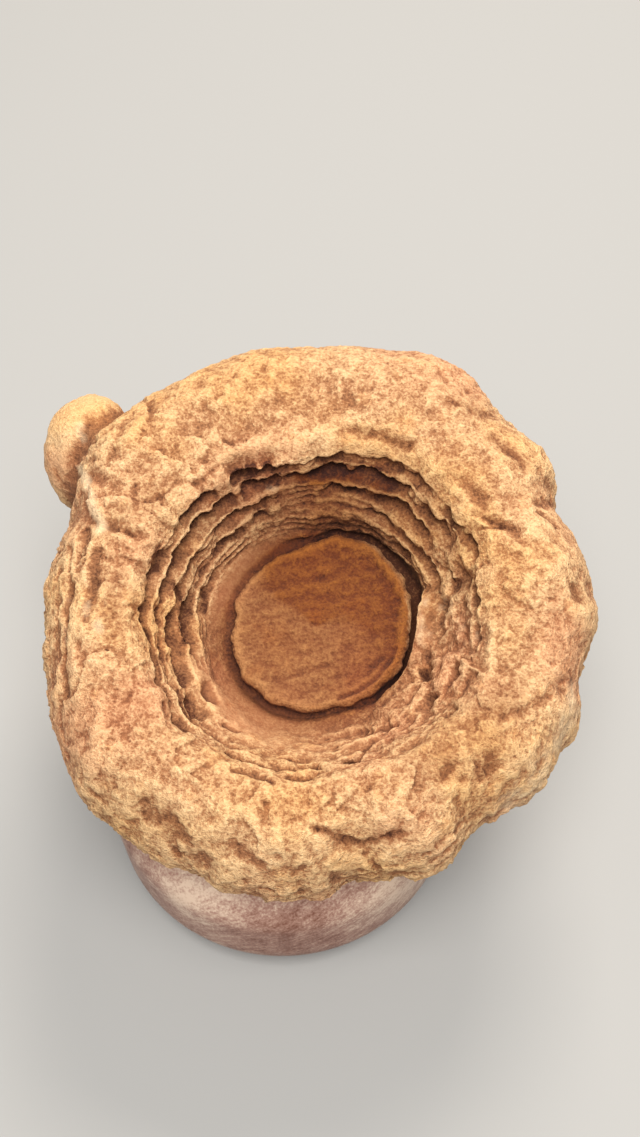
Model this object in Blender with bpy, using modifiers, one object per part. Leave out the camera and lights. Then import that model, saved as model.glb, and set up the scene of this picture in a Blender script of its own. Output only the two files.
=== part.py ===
"""Stromatolite: one stone with a rough domed crust, a terraced bowl round a button, and a ground foot.

Frame: +Z up, -Y to the front, origin on the small flat spot that the stone rests on.
The stone is turned upright as one profile, shaped by its outlines and lumps, and then leaned forward."""

import math

import bmesh
import bpy
import numpy as np
from mathutils import Vector, noise

MM = 0.001
NAME = "stromatolite"

# Driving dimensions, in metres. Depths in the bowl are measured down from the crest of the lip.
CREST_HEIGHT = 79.0 * MM
BUTTON_RADIUS = 19.0 * MM
BUTTON_DEPTH = 17.6 * MM
BUTTON_DISH = 1.7 * MM
MOAT_RADIUS = 22.0 * MM
MOAT_DEPTH = 23.0 * MM
TROUGH_RADIUS = 26.0 * MM
TROUGH_DEPTH = 18.8 * MM
RIM_RADIUS = 35.0 * MM
RIM_DEPTH = 3.4 * MM
LIP_RADIUS = 44.0 * MM
CRUST_RADIUS = 59.4 * MM
CRUST_DEPTH = 17.5 * MM
CRUST_EDGE_RADIUS = 41.8 * MM
CRUST_EDGE_HEIGHT = 28.5 * MM
FOOT_RADIUS = 39.4 * MM
FOOT_EDGE = 11.0 * MM
FLAT_RADIUS = 28.0 * MM

LEDGES = 5
LEDGE_UNDERCUT = 1.0 * MM
TURNS = 84
MERGE = 0.01 * MM

# The head leans forward, and sits behind the middle of the foot and a little to its right.
LEAN = math.radians(16.0)
LEAN_PIVOT_HEIGHT = 40.0 * MM
LEAN_FROM, LEAN_TO = 22.0 * MM, 60.0 * MM
HEAD_SHIFT = Vector((7.7, 19.3, 0.7)) * MM

# Outlines seen along the bowl's axis: (degrees anticlockwise from +X, radius in millimetres).
BUTTON_OUTLINE = ((0, 19.5), (60, 21), (90, 19), (120, 18), (180, 17.6), (225, 19), (280, 18.4), (330, 20))
MOAT_OUTLINE = (
    (0, 21.2), (25, 24), (55, 25.5), (85, 22.5), (130, 22), (170, 21.5), (215, 23), (270, 21), (320, 21.4),
)
TROUGH_OUTLINE = (
    (0, 22.6), (18, 24.6), (32, 27.4), (58, 28.2), (85, 25), (130, 24.4), (175, 24.8), (215, 27.2),
    (245, 28.4), (275, 26.8), (305, 24.2), (335, 22.8),
)
RIM_OUTLINE = (
    (0, 34.5), (18, 35.6), (45, 34.6), (62, 36.6), (78, 33.5), (92, 30.4), (104, 30), (120, 32.6),
    (150, 33.4), (185, 35.2), (222, 37), (258, 35.6), (285, 35), (310, 36.2), (335, 35.6),
)
CRUST_OUTLINE = (
    (2, 58.6), (9, 59.6), (22, 58.4), (28, 59.4), (34, 61.8), (42, 62.6), (49, 62.2), (60, 67), (67, 67.6),
    (78, 65.8), (88, 65.2), (98, 67), (108, 67.8), (117, 66.4), (128, 66.8), (138, 65), (150, 61),
    (159, 57.6), (172, 58.6), (182, 57.6), (192, 58.6), (207, 59.6), (218, 60.2), (232, 59.2), (244, 58.2),
    (254, 58.8), (268, 57.2), (279, 55), (290, 56.6), (309, 55.4), (320, 57.2), (329, 56.6), (336, 58),
    (350, 55),
)
# How much the moat's floor and the foot of the wall rise above their depths: (degrees, millimetres).
MOAT_RISE = ((0, 0.8), (45, -1.2), (85, 0.4), (130, 2.2), (180, 2.4), (240, 2.6), (280, 1.6), (325, -0.4))
TROUGH_RISE = (
    (0, 2.6), (30, 1.0), (60, -0.8), (100, 0), (180, 0.4), (225, -0.6), (265, -1.2), (300, 1.2), (335, 3),
)
# How far each ledge wanders in and out, in millimetres, and how many times it does so around the bowl.
LEDGE_WANDER, LEDGE_WAVES = 1.0, 2.6

# Ridges, lumps, creases and hollows of the lip, placed looking down the bowl's axis:
# (from x, from y, to x, to y, width, height), in millimetres, with hollows below zero.
LIP_RELIEF = (
    (56, 31, 38, 17.5, 3.4, -2.4), (38, 17.5, 30, 14, 3, -1), (58, -9.5, 46, -18.5, 3.2, -2.4),
    (46, -18.5, 26, -17, 4, -1.6), (54, -18.5, 54, -18.5, 6, 1.6), (54, -26.5, 49, -24, 3, -1.6),
    (45, -36, 45, -36, 7, 1.8), (38, -42, 38, -42, 5, 1.2), (32, -33, 29, -31, 5, -1.6),
    (-34, -43, -30, -37, 5, -2), (-26, -41, -17, -47, 2.4, -1.4), (-42, -36, -40, -30, 6, 1.2),
    (2, -46, 11, -49, 3.4, -2), (22, -50, 24, -48, 5, 1.6), (14, -41, 18, -43, 4, 1),
    (-8, -50, -4, -52, 6, 1), (-20, 33, -7, 33.5, 3, -2), (17, 39, 6, 33.5, 2.6, -1.6),
    (25, 30, 39, 19, 2.6, -1.4), (-47, 19.5, -36, 14.5, 2.6, -2.2), (-53, 19, -57, 2, 2, -1.6),
    (-57, 2, -57, -16, 2, -1.4), (-48, 27, -47, 20, 2.4, 1.8), (-43, 38, -40, 36, 9, 2.2),
    (-24, 52, -12, 54, 8, 1), (2, 50, 6, 48, 7, -1.2), (50, 36, 50, 36, 7, 1.6), (42, 50, 42, 50, 7, 1.4),
    (30, 57, 26, 58, 7, 1.2), (-30, 20, -28, 24, 5, -1), (-45, -8, -44, -14, 5, 1.4),
    (44, 2, 46, 10, 7, 1.2),
)
LIP_RELIEF_FADE = 38 * MM, 26 * MM

# Lumps of the wall: (degrees, depth below the crest, width, height), the last three in millimetres.
WALL_LUMPS = (
    (18, 26, 11, 1.6), (47, 22, 12, 1.8), (64, 36, 12, 2.2), (84, 24, 11, 1.4), (104, 38, 13, 2.4),
    (128, 30, 11, 1.4), (150, 40, 12, 2.2), (168, 28, 10, 1.6), (186, 38, 12, 1.8), (208, 28, 10, 1.4),
    (226, 46, 11, 1.0), (252, 30, 10, 1.2), (284, 34, 10, 1.4), (320, 46, 11, 1.0), (345, 30, 12, 1.8),
    (2, 42, 12, 1.6),
)
# How far the wall swells out halfway down: (degrees, millimetres).
WALL_SWELL = ((30, 4), (90, 8), (150, 5), (190, 1), (225, 0), (315, 0), (350, 1))
# Hollows and swells all over the crust: (height in millimetres, size in millimetres).
ROUGHNESS = ((1.3, 17), (0.8, 8))
CRUST_EDGE_WAVE = 2.4 * MM

# The side lobe that buds from the back left of the crust.
LOBE_CENTRE = Vector((-43.4, 56.0, 70.3)) * MM
LOBE_RADII = Vector((11.2, 12.2, 12.6)) * MM
LOBE_SEGMENTS, LOBE_RINGS = 22, 12


def clear_scene():
    """Removes the objects that a new Blender file starts with."""
    for thing in list(bpy.data.objects):
        bpy.data.objects.remove(thing)


def stone_material():
    """Weathered orange-ochre stone."""
    material = bpy.data.materials.new("ochre_stone")
    material.use_nodes = True
    shader = material.node_tree.nodes["Principled BSDF"]
    shader.inputs["Base Color"].default_value = (0.56, 0.28, 0.12, 1.0)
    shader.inputs["Roughness"].default_value = 0.85
    shader.inputs["Metallic"].default_value = 0.0
    return material


def arc(centre, radii, start, end, count):
    """Points on an elliptical arc of the profile, from one angle to another in degrees."""
    angles = np.radians(np.linspace(start, end, count))
    return [(centre[0] + radii[0] * math.cos(a), centre[1] + radii[1] * math.sin(a)) for a in angles]


def button_profile():
    """The dished top of the button and its raised edge, down to the moat."""
    top = CREST_HEIGHT - BUTTON_DEPTH
    dish = [(BUTTON_RADIUS * s, top - BUTTON_DISH * (1 - s ** 3)) for s in (0.0, 0.22, 0.48, 0.72, 0.92)]
    return dish + [(BUTTON_RADIUS, top - 0.6 * MM), (BUTTON_RADIUS + 0.4 * MM, top - 2.6 * MM)]


def bowl_profile():
    """The moat, the smooth trough, and the ledges that climb to the rim."""
    floor = CREST_HEIGHT - MOAT_DEPTH
    points = [(MOAT_RADIUS - 2.0 * MM, floor + 0.4 * MM), (MOAT_RADIUS - 0.5 * MM, floor)]
    points += [(MOAT_RADIUS + 1.0 * MM, floor + 2.0 * MM), (TROUGH_RADIUS, CREST_HEIGHT - TROUGH_DEPTH)]
    width = (RIM_RADIUS - TROUGH_RADIUS) / LEDGES
    rise = (TROUGH_DEPTH - RIM_DEPTH) / LEDGES
    for ledge in range(LEDGES):
        edge = TROUGH_RADIUS + (ledge + 1) * width
        height = CREST_HEIGHT - TROUGH_DEPTH + ledge * rise
        points += [
            (edge + LEDGE_UNDERCUT - 0.4 * width, height + 0.16 * rise),
            (edge + LEDGE_UNDERCUT, height + 0.66 * rise),
            (edge, height + rise),
        ]
    return points


def crust_profile():
    """The rounded lip and the outer wall, down to where the crust ends over the ground foot."""
    inner = arc((LIP_RADIUS, CREST_HEIGHT - RIM_DEPTH), (LIP_RADIUS - RIM_RADIUS, RIM_DEPTH), 146, 90, 3)
    span = (CRUST_RADIUS - LIP_RADIUS, CRUST_DEPTH)
    outer = arc((LIP_RADIUS, CREST_HEIGHT - CRUST_DEPTH), span, 74, 0, 6)
    widest = CREST_HEIGHT - CRUST_DEPTH
    wall = []
    for share in (0.14, 0.29, 0.44, 0.59, 0.74, 0.88, 1.0):
        height = widest + (CRUST_EDGE_HEIGHT - widest) * share
        wall.append((CRUST_RADIUS + (CRUST_EDGE_RADIUS - CRUST_RADIUS) * share ** 1.1, height))
    return inner + outer + wall


def foot_profile():
    """The smooth ground foot and its rounded edge, down to the flat spot."""
    top = [
        (FOOT_RADIUS + 1.2 * MM, CRUST_EDGE_HEIGHT - 1.0 * MM),
        (FOOT_RADIUS + 0.6 * MM, CRUST_EDGE_HEIGHT - 8.0 * MM),
    ]
    return top + arc((FLAT_RADIUS, FOOT_EDGE), (FOOT_RADIUS - FLAT_RADIUS, FOOT_EDGE), 0, -90, 7)


def turned_blank(profile):
    """Turns the profile round the Z axis with a Screw modifier and closes it with one flat face below."""
    mesh = bpy.data.meshes.new("profile")
    points = [(radius, 0.0, height) for radius, height in profile]
    mesh.from_pydata(points, [(i, i + 1) for i in range(len(points) - 1)], [])
    blank = bpy.data.objects.new("profile", mesh)
    bpy.context.scene.collection.objects.link(blank)
    screw = blank.modifiers.new("turn", "SCREW")
    screw.steps = screw.render_steps = TURNS
    screw.use_merge_vertices = True
    screw.merge_threshold = MERGE
    turned = bpy.data.meshes.new_from_object(blank.evaluated_get(bpy.context.evaluated_depsgraph_get()))
    bpy.data.objects.remove(blank)
    edit = bmesh.new()
    edit.from_mesh(turned)
    bmesh.ops.contextual_create(edit, geom=[e for e in edit.edges if e.is_boundary])
    bmesh.ops.recalc_face_normals(edit, faces=edit.faces)
    edit.to_mesh(turned)
    edit.free()
    return turned


def around(outline, degrees):
    """Value of an outline at each angle, by a smooth closed curve through its points, in metres."""
    angles = np.array([p[0] for p in outline], float)
    values = np.array([p[1] for p in outline], float) * MM
    wrapped = np.mod(degrees - angles[0], 360.0) + angles[0]
    left = np.clip(np.searchsorted(angles, wrapped, side="right") - 1, 0, len(angles) - 1)
    right = (left + 1) % len(angles)
    share = (wrapped - angles[left]) / np.mod(angles[right] - angles[left], 360.0)
    blend = share * share * (3 - 2 * share)
    return values[left] * (1 - blend) + values[right] * blend


def smooth_step(value, low, high):
    """0 at low, 1 at high, and smooth between them."""
    share = np.clip((value - low) / (high - low), 0.0, 1.0)
    return share * share * (3 - 2 * share)


def noise_at(points, size, seed=0.0):
    """Smooth noise at each point, for swells of about the given size in metres."""
    return np.array([noise.noise(Vector(p) / size + Vector((seed, 0, 0))) for p in points])


def profile_position(radius, height, profile):
    """Index along the profile of each point of the turned blank."""
    spots = np.array(profile)
    away = (radius[:, None] - spots[:, 0]) ** 2 + (height[:, None] - spots[:, 1]) ** 2
    return np.argmin(away, axis=1)


def follow_outlines(position, degrees, along, marks):
    """Moves the points in or out, up or down, so that the profile follows each outline round the stone."""
    radius = np.hypot(position[:, 0], position[:, 1])
    keys = (
        (marks["button"], around(BUTTON_OUTLINE, degrees) / BUTTON_RADIUS),
        (marks["moat"], around(MOAT_OUTLINE, degrees) / MOAT_RADIUS),
        (marks["trough"], around(TROUGH_OUTLINE, degrees) / TROUGH_RADIUS),
        (marks["rim"], around(RIM_OUTLINE, degrees) / RIM_RADIUS),
        (marks["widest"], around(CRUST_OUTLINE, degrees) / CRUST_RADIUS),
        (marks["foot"], np.ones_like(degrees)),
    )
    scale = 1 + (keys[0][1] - 1) * smooth_step(along, 0, 3)
    for (low, before), (high, after) in zip(keys, keys[1:]):
        share = np.clip((along - low) / (high - low), 0, 1)
        if low >= marks["rim"]:
            share = smooth_step(along, low, high)
        scale = np.where(along > low, before * (1 - share) + after * share, scale)
    rise = around(MOAT_RISE, degrees) * np.exp(-((along - marks["moat"]) / 1.3) ** 2)
    climb = (along - marks["trough"]) / (marks["rim"] - marks["trough"])
    below_lip = np.where(climb < 0, smooth_step(climb, -0.1, 0), np.clip(1 - climb, 0, 1))
    rise += around(TROUGH_RISE, degrees) * below_lip

    ledge = np.floor((along - marks["trough"] - 1) / 3)
    on_ledge = (along > marks["trough"]) & (along <= marks["rim"])
    turn = np.radians(degrees)
    rings = np.stack([np.cos(turn), np.sin(turn), ledge * 0.55], axis=1) * LEDGE_WAVES
    wander = noise_at(rings, 1.0, 3.7) * LEDGE_WANDER * MM * on_ledge * 2
    rise += noise_at(rings, 1.0, 9.1) * 0.9 * MM * on_ledge
    down = np.clip((along - marks["widest"]) / (marks["foot"] - marks["widest"]), 0, 1)
    swell = around(WALL_SWELL, degrees) * 4 * down * (1 - down)
    outward = position[:, :2] / np.maximum(radius, 1e-9)[:, None]
    position[:, :2] += outward * (radius * (scale - 1) + wander + swell)[:, None]
    position[:, 2] += rise


def crust_relief(position, degrees, height):
    """Ridges, lumps, creases and swells of the crust, as a distance along the surface's outward direction."""
    relief = np.zeros(len(position))
    plan = position[:, :2]
    near_top = smooth_step(-height, LIP_RELIEF_FADE[0] - CREST_HEIGHT, LIP_RELIEF_FADE[1] - CREST_HEIGHT)
    for x0, y0, x1, y1, width, tall in LIP_RELIEF:
        start, run = np.array((x0, y0)) * MM, np.array((x1 - x0, y1 - y0)) * MM
        share = np.clip((plan - start) @ run / max(run @ run, 1e-12), 0, 1)
        away = np.linalg.norm(plan - start - share[:, None] * run, axis=1)
        relief += tall * MM * np.exp(-(away / (width * MM)) ** 2) * near_top
    for angle, below, width, tall in WALL_LUMPS:
        aside = np.radians(np.mod(degrees - angle + 180.0, 360.0) - 180.0) * CRUST_RADIUS
        up = height - (CREST_HEIGHT - below * MM)
        relief += tall * MM * np.exp(-(aside ** 2 + up ** 2) / (width * MM) ** 2)
    for tall, size in ROUGHNESS:
        relief += tall * MM * noise_at(position, size * MM, 5.0)
    return relief


def lean_head(position, height):
    """Leans and shifts the head over the upright foot, bending the stone between them."""
    lean = smooth_step(height, LEAN_FROM, LEAN_TO)
    cosine, sine = np.cos(LEAN * lean), np.sin(LEAN * lean)
    forward, up = position[:, 1].copy(), position[:, 2] - LEAN_PIVOT_HEIGHT
    position[:, 1] = forward * cosine - up * sine
    position[:, 2] = LEAN_PIVOT_HEIGHT + up * cosine + forward * sine
    position += lean[:, None] * np.array(HEAD_SHIFT)


def shape_stone(mesh, profile):
    """Gives the turned blank the stone's outlines, relief and lean."""
    values = np.empty((2, len(mesh.vertices) * 3))
    mesh.vertices.foreach_get("co", values[0])
    mesh.vertices.foreach_get("normal", values[1])
    position, normals = values.reshape(2, -1, 3)
    radius = np.hypot(position[:, 0], position[:, 1])
    height = position[:, 2].copy()
    degrees = np.mod(np.degrees(np.arctan2(position[:, 1], position[:, 0])), 360.0)
    button_end = len(button_profile()) - 2
    rim = len(button_profile() + bowl_profile()) - 1
    marks = {
        "button": button_end, "moat": button_end + 3, "trough": button_end + 5, "rim": rim, "widest": rim + 9,
        "foot": len(button_profile() + bowl_profile() + crust_profile()) - 1,
    }
    along = profile_position(radius, height, profile).astype(float)
    follow_outlines(position, degrees, along, marks)
    crust = np.where(along < marks["rim"], 0.0, smooth_step(along, marks["rim"] - 1, marks["rim"] + 2))
    crust *= 1 - smooth_step(along, marks["foot"] - 1, marks["foot"] + 1)
    position += normals * (crust_relief(position, degrees, height) * crust)[:, None]
    lower = smooth_step(along, marks["foot"] - 4, marks["foot"])
    lower *= 1 - smooth_step(along, marks["foot"] + 1, marks["foot"] + 3)
    turn = np.radians(degrees)
    rings = np.stack([np.cos(turn), np.sin(turn), np.zeros_like(turn)], axis=1) * 2.2
    position[:, 2] += noise_at(rings, 1.0, 2.2) * CRUST_EDGE_WAVE * lower
    lean_head(position, height)
    mesh.vertices.foreach_set("co", position.ravel())
    mesh.update()


def side_lobe(collection):
    """The rounded lobe that buds from the back left of the crust, for a Boolean to join on."""
    bpy.ops.mesh.primitive_uv_sphere_add(segments=LOBE_SEGMENTS, ring_count=LOBE_RINGS, radius=1.0)
    lobe = bpy.context.object
    lobe.name = "side_lobe"
    for vertex in lobe.data.vertices:
        swell = 1 + 0.14 * noise.noise(vertex.co * 1.5 + Vector((4, 1, 2)))
        vertex.co = LOBE_CENTRE + Vector(c * r * swell for c, r in zip(vertex.co, LOBE_RADII))
    for other in lobe.users_collection:
        other.objects.unlink(lobe)
    collection.objects.link(lobe)
    lobe.hide_render = True
    lobe.display_type = "WIRE"
    return lobe


def build():
    """Builds the stone in a collection of its own."""
    clear_scene()
    stone_parts = bpy.data.collections.new(NAME)
    joined = bpy.data.collections.new("joined_shapes")
    for collection in (stone_parts, joined):
        bpy.context.scene.collection.children.link(collection)

    profile = button_profile() + bowl_profile() + crust_profile() + foot_profile()
    mesh = turned_blank(profile)
    shape_stone(mesh, profile)
    mesh.name = NAME
    mesh.materials.append(stone_material())
    mesh.shade_smooth()
    mesh.set_sharp_from_angle(angle=math.radians(50.0))
    stone = bpy.data.objects.new(NAME, mesh)
    stone_parts.objects.link(stone)
    union = stone.modifiers.new("side_lobe", "BOOLEAN")
    union.operation = "UNION"
    union.solver = "EXACT"
    union.object = side_lobe(joined)


build()
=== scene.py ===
"""Dresses the stromatolite: one ochre stone with a gritty crust, a bowl round a button, and a ground foot.

Lengths are in millimetres until a mesh is written, in the row frame or, for the head, in its upright
frame before it is leaned forward over the foot.
"""

from __future__ import annotations

import logging
import math
from dataclasses import dataclass, field
from enum import Enum

import bpy
import numpy as np
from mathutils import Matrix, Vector
from mathutils.bvhtree import BVHTree

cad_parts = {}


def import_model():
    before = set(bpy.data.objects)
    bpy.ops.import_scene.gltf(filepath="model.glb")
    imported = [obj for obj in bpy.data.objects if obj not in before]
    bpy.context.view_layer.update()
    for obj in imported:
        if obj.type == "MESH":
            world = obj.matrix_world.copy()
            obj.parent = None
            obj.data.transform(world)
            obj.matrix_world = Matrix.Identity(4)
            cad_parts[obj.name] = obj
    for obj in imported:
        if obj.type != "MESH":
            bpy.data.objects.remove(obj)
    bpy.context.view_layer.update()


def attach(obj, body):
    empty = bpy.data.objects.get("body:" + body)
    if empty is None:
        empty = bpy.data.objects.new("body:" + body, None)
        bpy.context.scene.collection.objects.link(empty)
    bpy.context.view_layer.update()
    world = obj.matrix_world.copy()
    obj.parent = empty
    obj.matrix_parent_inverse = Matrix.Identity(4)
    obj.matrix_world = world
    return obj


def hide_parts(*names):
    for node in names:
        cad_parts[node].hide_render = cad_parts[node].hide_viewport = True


LOG = logging.getLogger("stromatolite")
MM = 0.001
Curve = tuple[tuple[float, float], ...]


class Zone(Enum):
    """The bands of the stone's surface, from the middle of the bowl to the flat spot below."""

    BUTTON = 0
    MOAT = 1
    LEDGES = 2
    LIP = 3
    WALL = 4
    FOOT = 5


def smooth_step(value: np.ndarray, low: float, high: float) -> np.ndarray:
    """0 at low, 1 at high, and smooth between them."""
    share = np.clip((value - low) / (high - low), 0.0, 1.0)
    return share * share * (3 - 2 * share)


def hump(away: np.ndarray, width: float, power: float = 2) -> np.ndarray:
    """1 in the middle, 0.37 a width away and then fading to 0, flatter on top for a higher power."""
    return np.exp(-((away / width) ** power))


def apart(degrees: np.ndarray, middle: float) -> np.ndarray:
    """How far each angle lies from the middle one, from -180 to 180 degrees."""
    return np.mod(degrees - middle + 180, 360) - 180


def around(curve: Curve, degrees: np.ndarray) -> np.ndarray:
    """Value of a closed curve at each angle.

    Args:
        curve: Pairs of an angle in degrees, rising, and a value.
        degrees: Angles at which the value is wanted, from 0 to 360.

    Returns:
        The values, eased between the curve's points.
    """
    angles = np.array([p[0] for p in curve], float)
    values = np.array([p[1] for p in curve], float)
    wrapped = np.mod(degrees - angles[0], 360.0) + angles[0]
    left = np.clip(np.searchsorted(angles, wrapped, side="right") - 1, 0, len(angles) - 1)
    right = (left + 1) % len(angles)
    share = (wrapped - angles[left]) / np.mod(angles[right] - angles[left], 360.0)
    blend = smooth_step(share, 0, 1)
    return values[left] * (1 - blend) + values[right] * blend


def along_stations(stations: np.ndarray, count: int) -> np.ndarray:
    """Rounds a line of stations into a smooth run of rings.

    Args:
        stations: Array of stations by (radius, height) by angles.
        count: How many rings to make, without the last station itself.

    Returns:
        Array of rings by (radius, height) by angles, on a Catmull-Rom curve through the stations.
    """
    last = len(stations) - 1
    spots = np.linspace(0, last, count, endpoint=False)
    left = spots.astype(int)
    share = (spots - left)[:, None, None]
    before, start = stations[np.maximum(left - 1, 0)], stations[left]
    end, after = stations[left + 1], stations[np.minimum(left + 2, last)]
    return 0.5 * (
        2 * start + (end - before) * share + (2 * before - 5 * start + 4 * end - after) * share**2
        + (3 * start - before - 3 * end + after) * share**3
    )


def points_degrees(points: np.ndarray) -> np.ndarray:
    """Angle of each point round the upright axis, in degrees."""
    return np.degrees(np.arctan2(points[:, 1], points[:, 0]))


def circle_points(degrees: np.ndarray, height: float = 0.0) -> np.ndarray:
    """Points at those angles on a circle with a radius of 1, to read noise along it."""
    turn = np.radians(degrees)
    return np.stack([np.cos(turn), np.sin(turn), np.full_like(turn, height)], axis=1)


def from_line(points: np.ndarray, first: tuple[float, ...], last: tuple[float, ...]) -> np.ndarray:
    """Measures how far each point is from the line between two places.

    Args:
        points: Points by (x, y) or (x, y, z).
        first: Where the line starts.
        last: Where the line ends. It may be the same place.

    Returns:
        The distances.
    """
    start = np.array(first, float)
    run = np.array(last, float) - start
    share = np.clip((points - start) @ run / max(run @ run, 1e-9), 0, 1)
    return np.linalg.norm(points - start - share[:, None] * run, axis=1)


def together(reliefs: list[np.ndarray]) -> np.ndarray:
    """Deepest hollow and tallest ridge at each point, so that marks which meet don't add up."""
    stack = np.array(reliefs)
    return np.minimum(stack.min(axis=0), 0) + np.maximum(stack.max(axis=0), 0)


@dataclass(frozen=True)
class Swell:
    """A layer of noise: its height, the size of its swells, how many octaves it has, and its shift."""

    height: float
    size: float
    octaves: int
    shift: float


@dataclass
class StoneNoise:
    """Seeded noise in space, the same each run."""

    seed: int = 11
    order: np.ndarray = field(init=False)
    slopes: np.ndarray = field(init=False)
    spots: np.ndarray = field(init=False)

    def __post_init__(self) -> None:
        """Draws the tables that all the noise is read from."""
        draw = np.random.default_rng(self.seed)
        self.order = draw.permutation(256)
        slopes = draw.normal(size=(256, 3))
        self.slopes = slopes / np.linalg.norm(slopes, axis=1)[:, None]
        self.spots = draw.random((256, 3))

    def pick(self, corner: np.ndarray) -> np.ndarray:
        """Table entry of each whole-numbered corner of space."""
        inner = self.order[(self.order[corner[:, 0] & 255] + corner[:, 1]) & 255]
        return self.order[(inner + corner[:, 2]) & 255]

    def swell(self, points: np.ndarray, size: float, shift: float = 0.0) -> np.ndarray:
        """Smooth swells and hollows.

        Args:
            points: Points by (x, y, z), in millimetres.
            size: Distance from one swell to the next, in millimetres.
            shift: Moves the pattern, so that two calls differ.

        Returns:
            One value for each point, mostly from -0.7 to 0.7.
        """
        spots = points / size + shift
        corner = np.floor(spots).astype(int)
        inside = spots - corner
        ease = inside**3 * (inside * (inside * 6 - 15) + 10)
        total = np.zeros(len(points))
        for step in np.ndindex(2, 2, 2):
            slope = self.slopes[self.pick(corner + step)]
            weight = np.prod(np.where(np.array(step) == 1, ease, 1 - ease), axis=1)
            total += weight * np.einsum("ij,ij->i", slope, inside - step)
        return total

    def rough(self, points: np.ndarray, size: float, octaves: int, shift: float = 0.0) -> np.ndarray:
        """Swells with smaller swells on them, each half as large and half as tall as the last."""
        return sum(self.swell(points, size / 2**i, shift + 7.3 * i) / 2**i for i in range(octaves))

    def layers(self, points: np.ndarray, *swells: Swell) -> np.ndarray:
        """Sum of layers of noise, each as tall as it says."""
        return sum(s.height * self.rough(points, s.size, s.octaves, s.shift) for s in swells)

    def waves(self, circle: np.ndarray, layers: tuple[tuple[float, Swell], ...]) -> np.ndarray:
        """Sum of layers of noise that run round a circle, each as often as the number that comes with it."""
        return sum(self.layers(circle * often, layer) for often, layer in layers)

    def facets(self, points: np.ndarray, layer: Swell) -> np.ndarray:
        """Flat facets, each tilted its own way, as tall and as wide as the layer says."""
        return layer.height * self.cells(points, layer.size, layer.shift)[1]

    def worms(self, points: np.ndarray, size: float, shift: float = 0.0) -> np.ndarray:
        """Thin winding ridges, 1 on their crests and falling to 0 between them."""
        return 1 - np.clip(np.abs(self.swell(points, size, shift)) * 3.2, 0, 1)

    def cells(self, points: np.ndarray, size: float, shift: float = 0.0) -> tuple[np.ndarray, np.ndarray]:
        """Cells packed together like grains.

        Args:
            points: Points by (x, y, z), in millimetres.
            size: Width of a cell, in millimetres.
            shift: Moves the pattern, so that two calls differ.

        Returns:
            Distance to the nearest cell's middle, and the height of a flat facet that is tilted its own way
            in each cell, both in cell widths.
        """
        spots = points / size + shift
        corner = np.floor(spots).astype(int)
        nearest = np.full(len(points), np.inf)
        facet = np.zeros(len(points))
        for step in np.ndindex(3, 3, 3):
            cell = corner + (np.array(step) - 1)
            entry = self.pick(cell)
            offset = spots - cell - self.spots[entry]
            gap = np.linalg.norm(offset, axis=1)
            facet = np.where(gap < nearest, np.einsum("ij,ij->i", self.slopes[entry], offset), facet)
            nearest = np.minimum(nearest, gap)
        return nearest, facet


@dataclass(frozen=True)
class Mark:
    """A ridge, lump, crease or hollow of the lip, placed looking down the bowl's axis.

    It runs from one point to another and fades away from that line. Hollows have a height below zero.
    """

    x0: float
    y0: float
    x1: float
    y1: float
    width: float
    height: float
    round: float = 2.0

    def relief(self, plan: np.ndarray) -> np.ndarray:
        """How far this mark raises each point, which is given by (x, y) in the head's frame."""
        away = from_line(plan, (self.x0, self.y0), (self.x1, self.y1))
        return self.height * hump(away, self.width, self.round)


@dataclass(frozen=True)
class Cleft:
    """A cleft, hollow or rib that follows the bowl round, placed by angle and radius.

    It runs from one angle and radius to another. Clefts and hollows have a height below zero.
    """

    degrees0: float
    radius0: float
    degrees1: float
    radius1: float
    width: float
    height: float
    round: float = 2.0

    def relief(self, degrees: np.ndarray, radius: np.ndarray) -> np.ndarray:
        """How far this cleft sinks each point.

        Args:
            degrees: The angle of each point.
            radius: Distance of each point from the bowl's axis.

        Returns:
            Heights in millimetres, fading away from the cleft's line.
        """
        half = (self.degrees1 - self.degrees0) / 2
        from_middle = apart(degrees - self.degrees0, half)
        share = np.clip(from_middle / (2 * half) + 0.5, 0, 1)
        beyond = np.radians(np.abs(from_middle) - half).clip(0) * radius
        aside = radius - self.radius0 - (self.radius1 - self.radius0) * share
        return self.height * hump(np.hypot(beyond, aside), self.width, self.round)


@dataclass(frozen=True)
class Ledge:
    """One shelf of the bowl's wall.

    Its lip lies `drop` below the crest, follows `lip` round the bowl, and hangs over a recess by `hollow`,
    which is 0 where the shelf fades into the slope.
    """

    drop: float
    lip: Curve
    hollow: Curve


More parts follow.
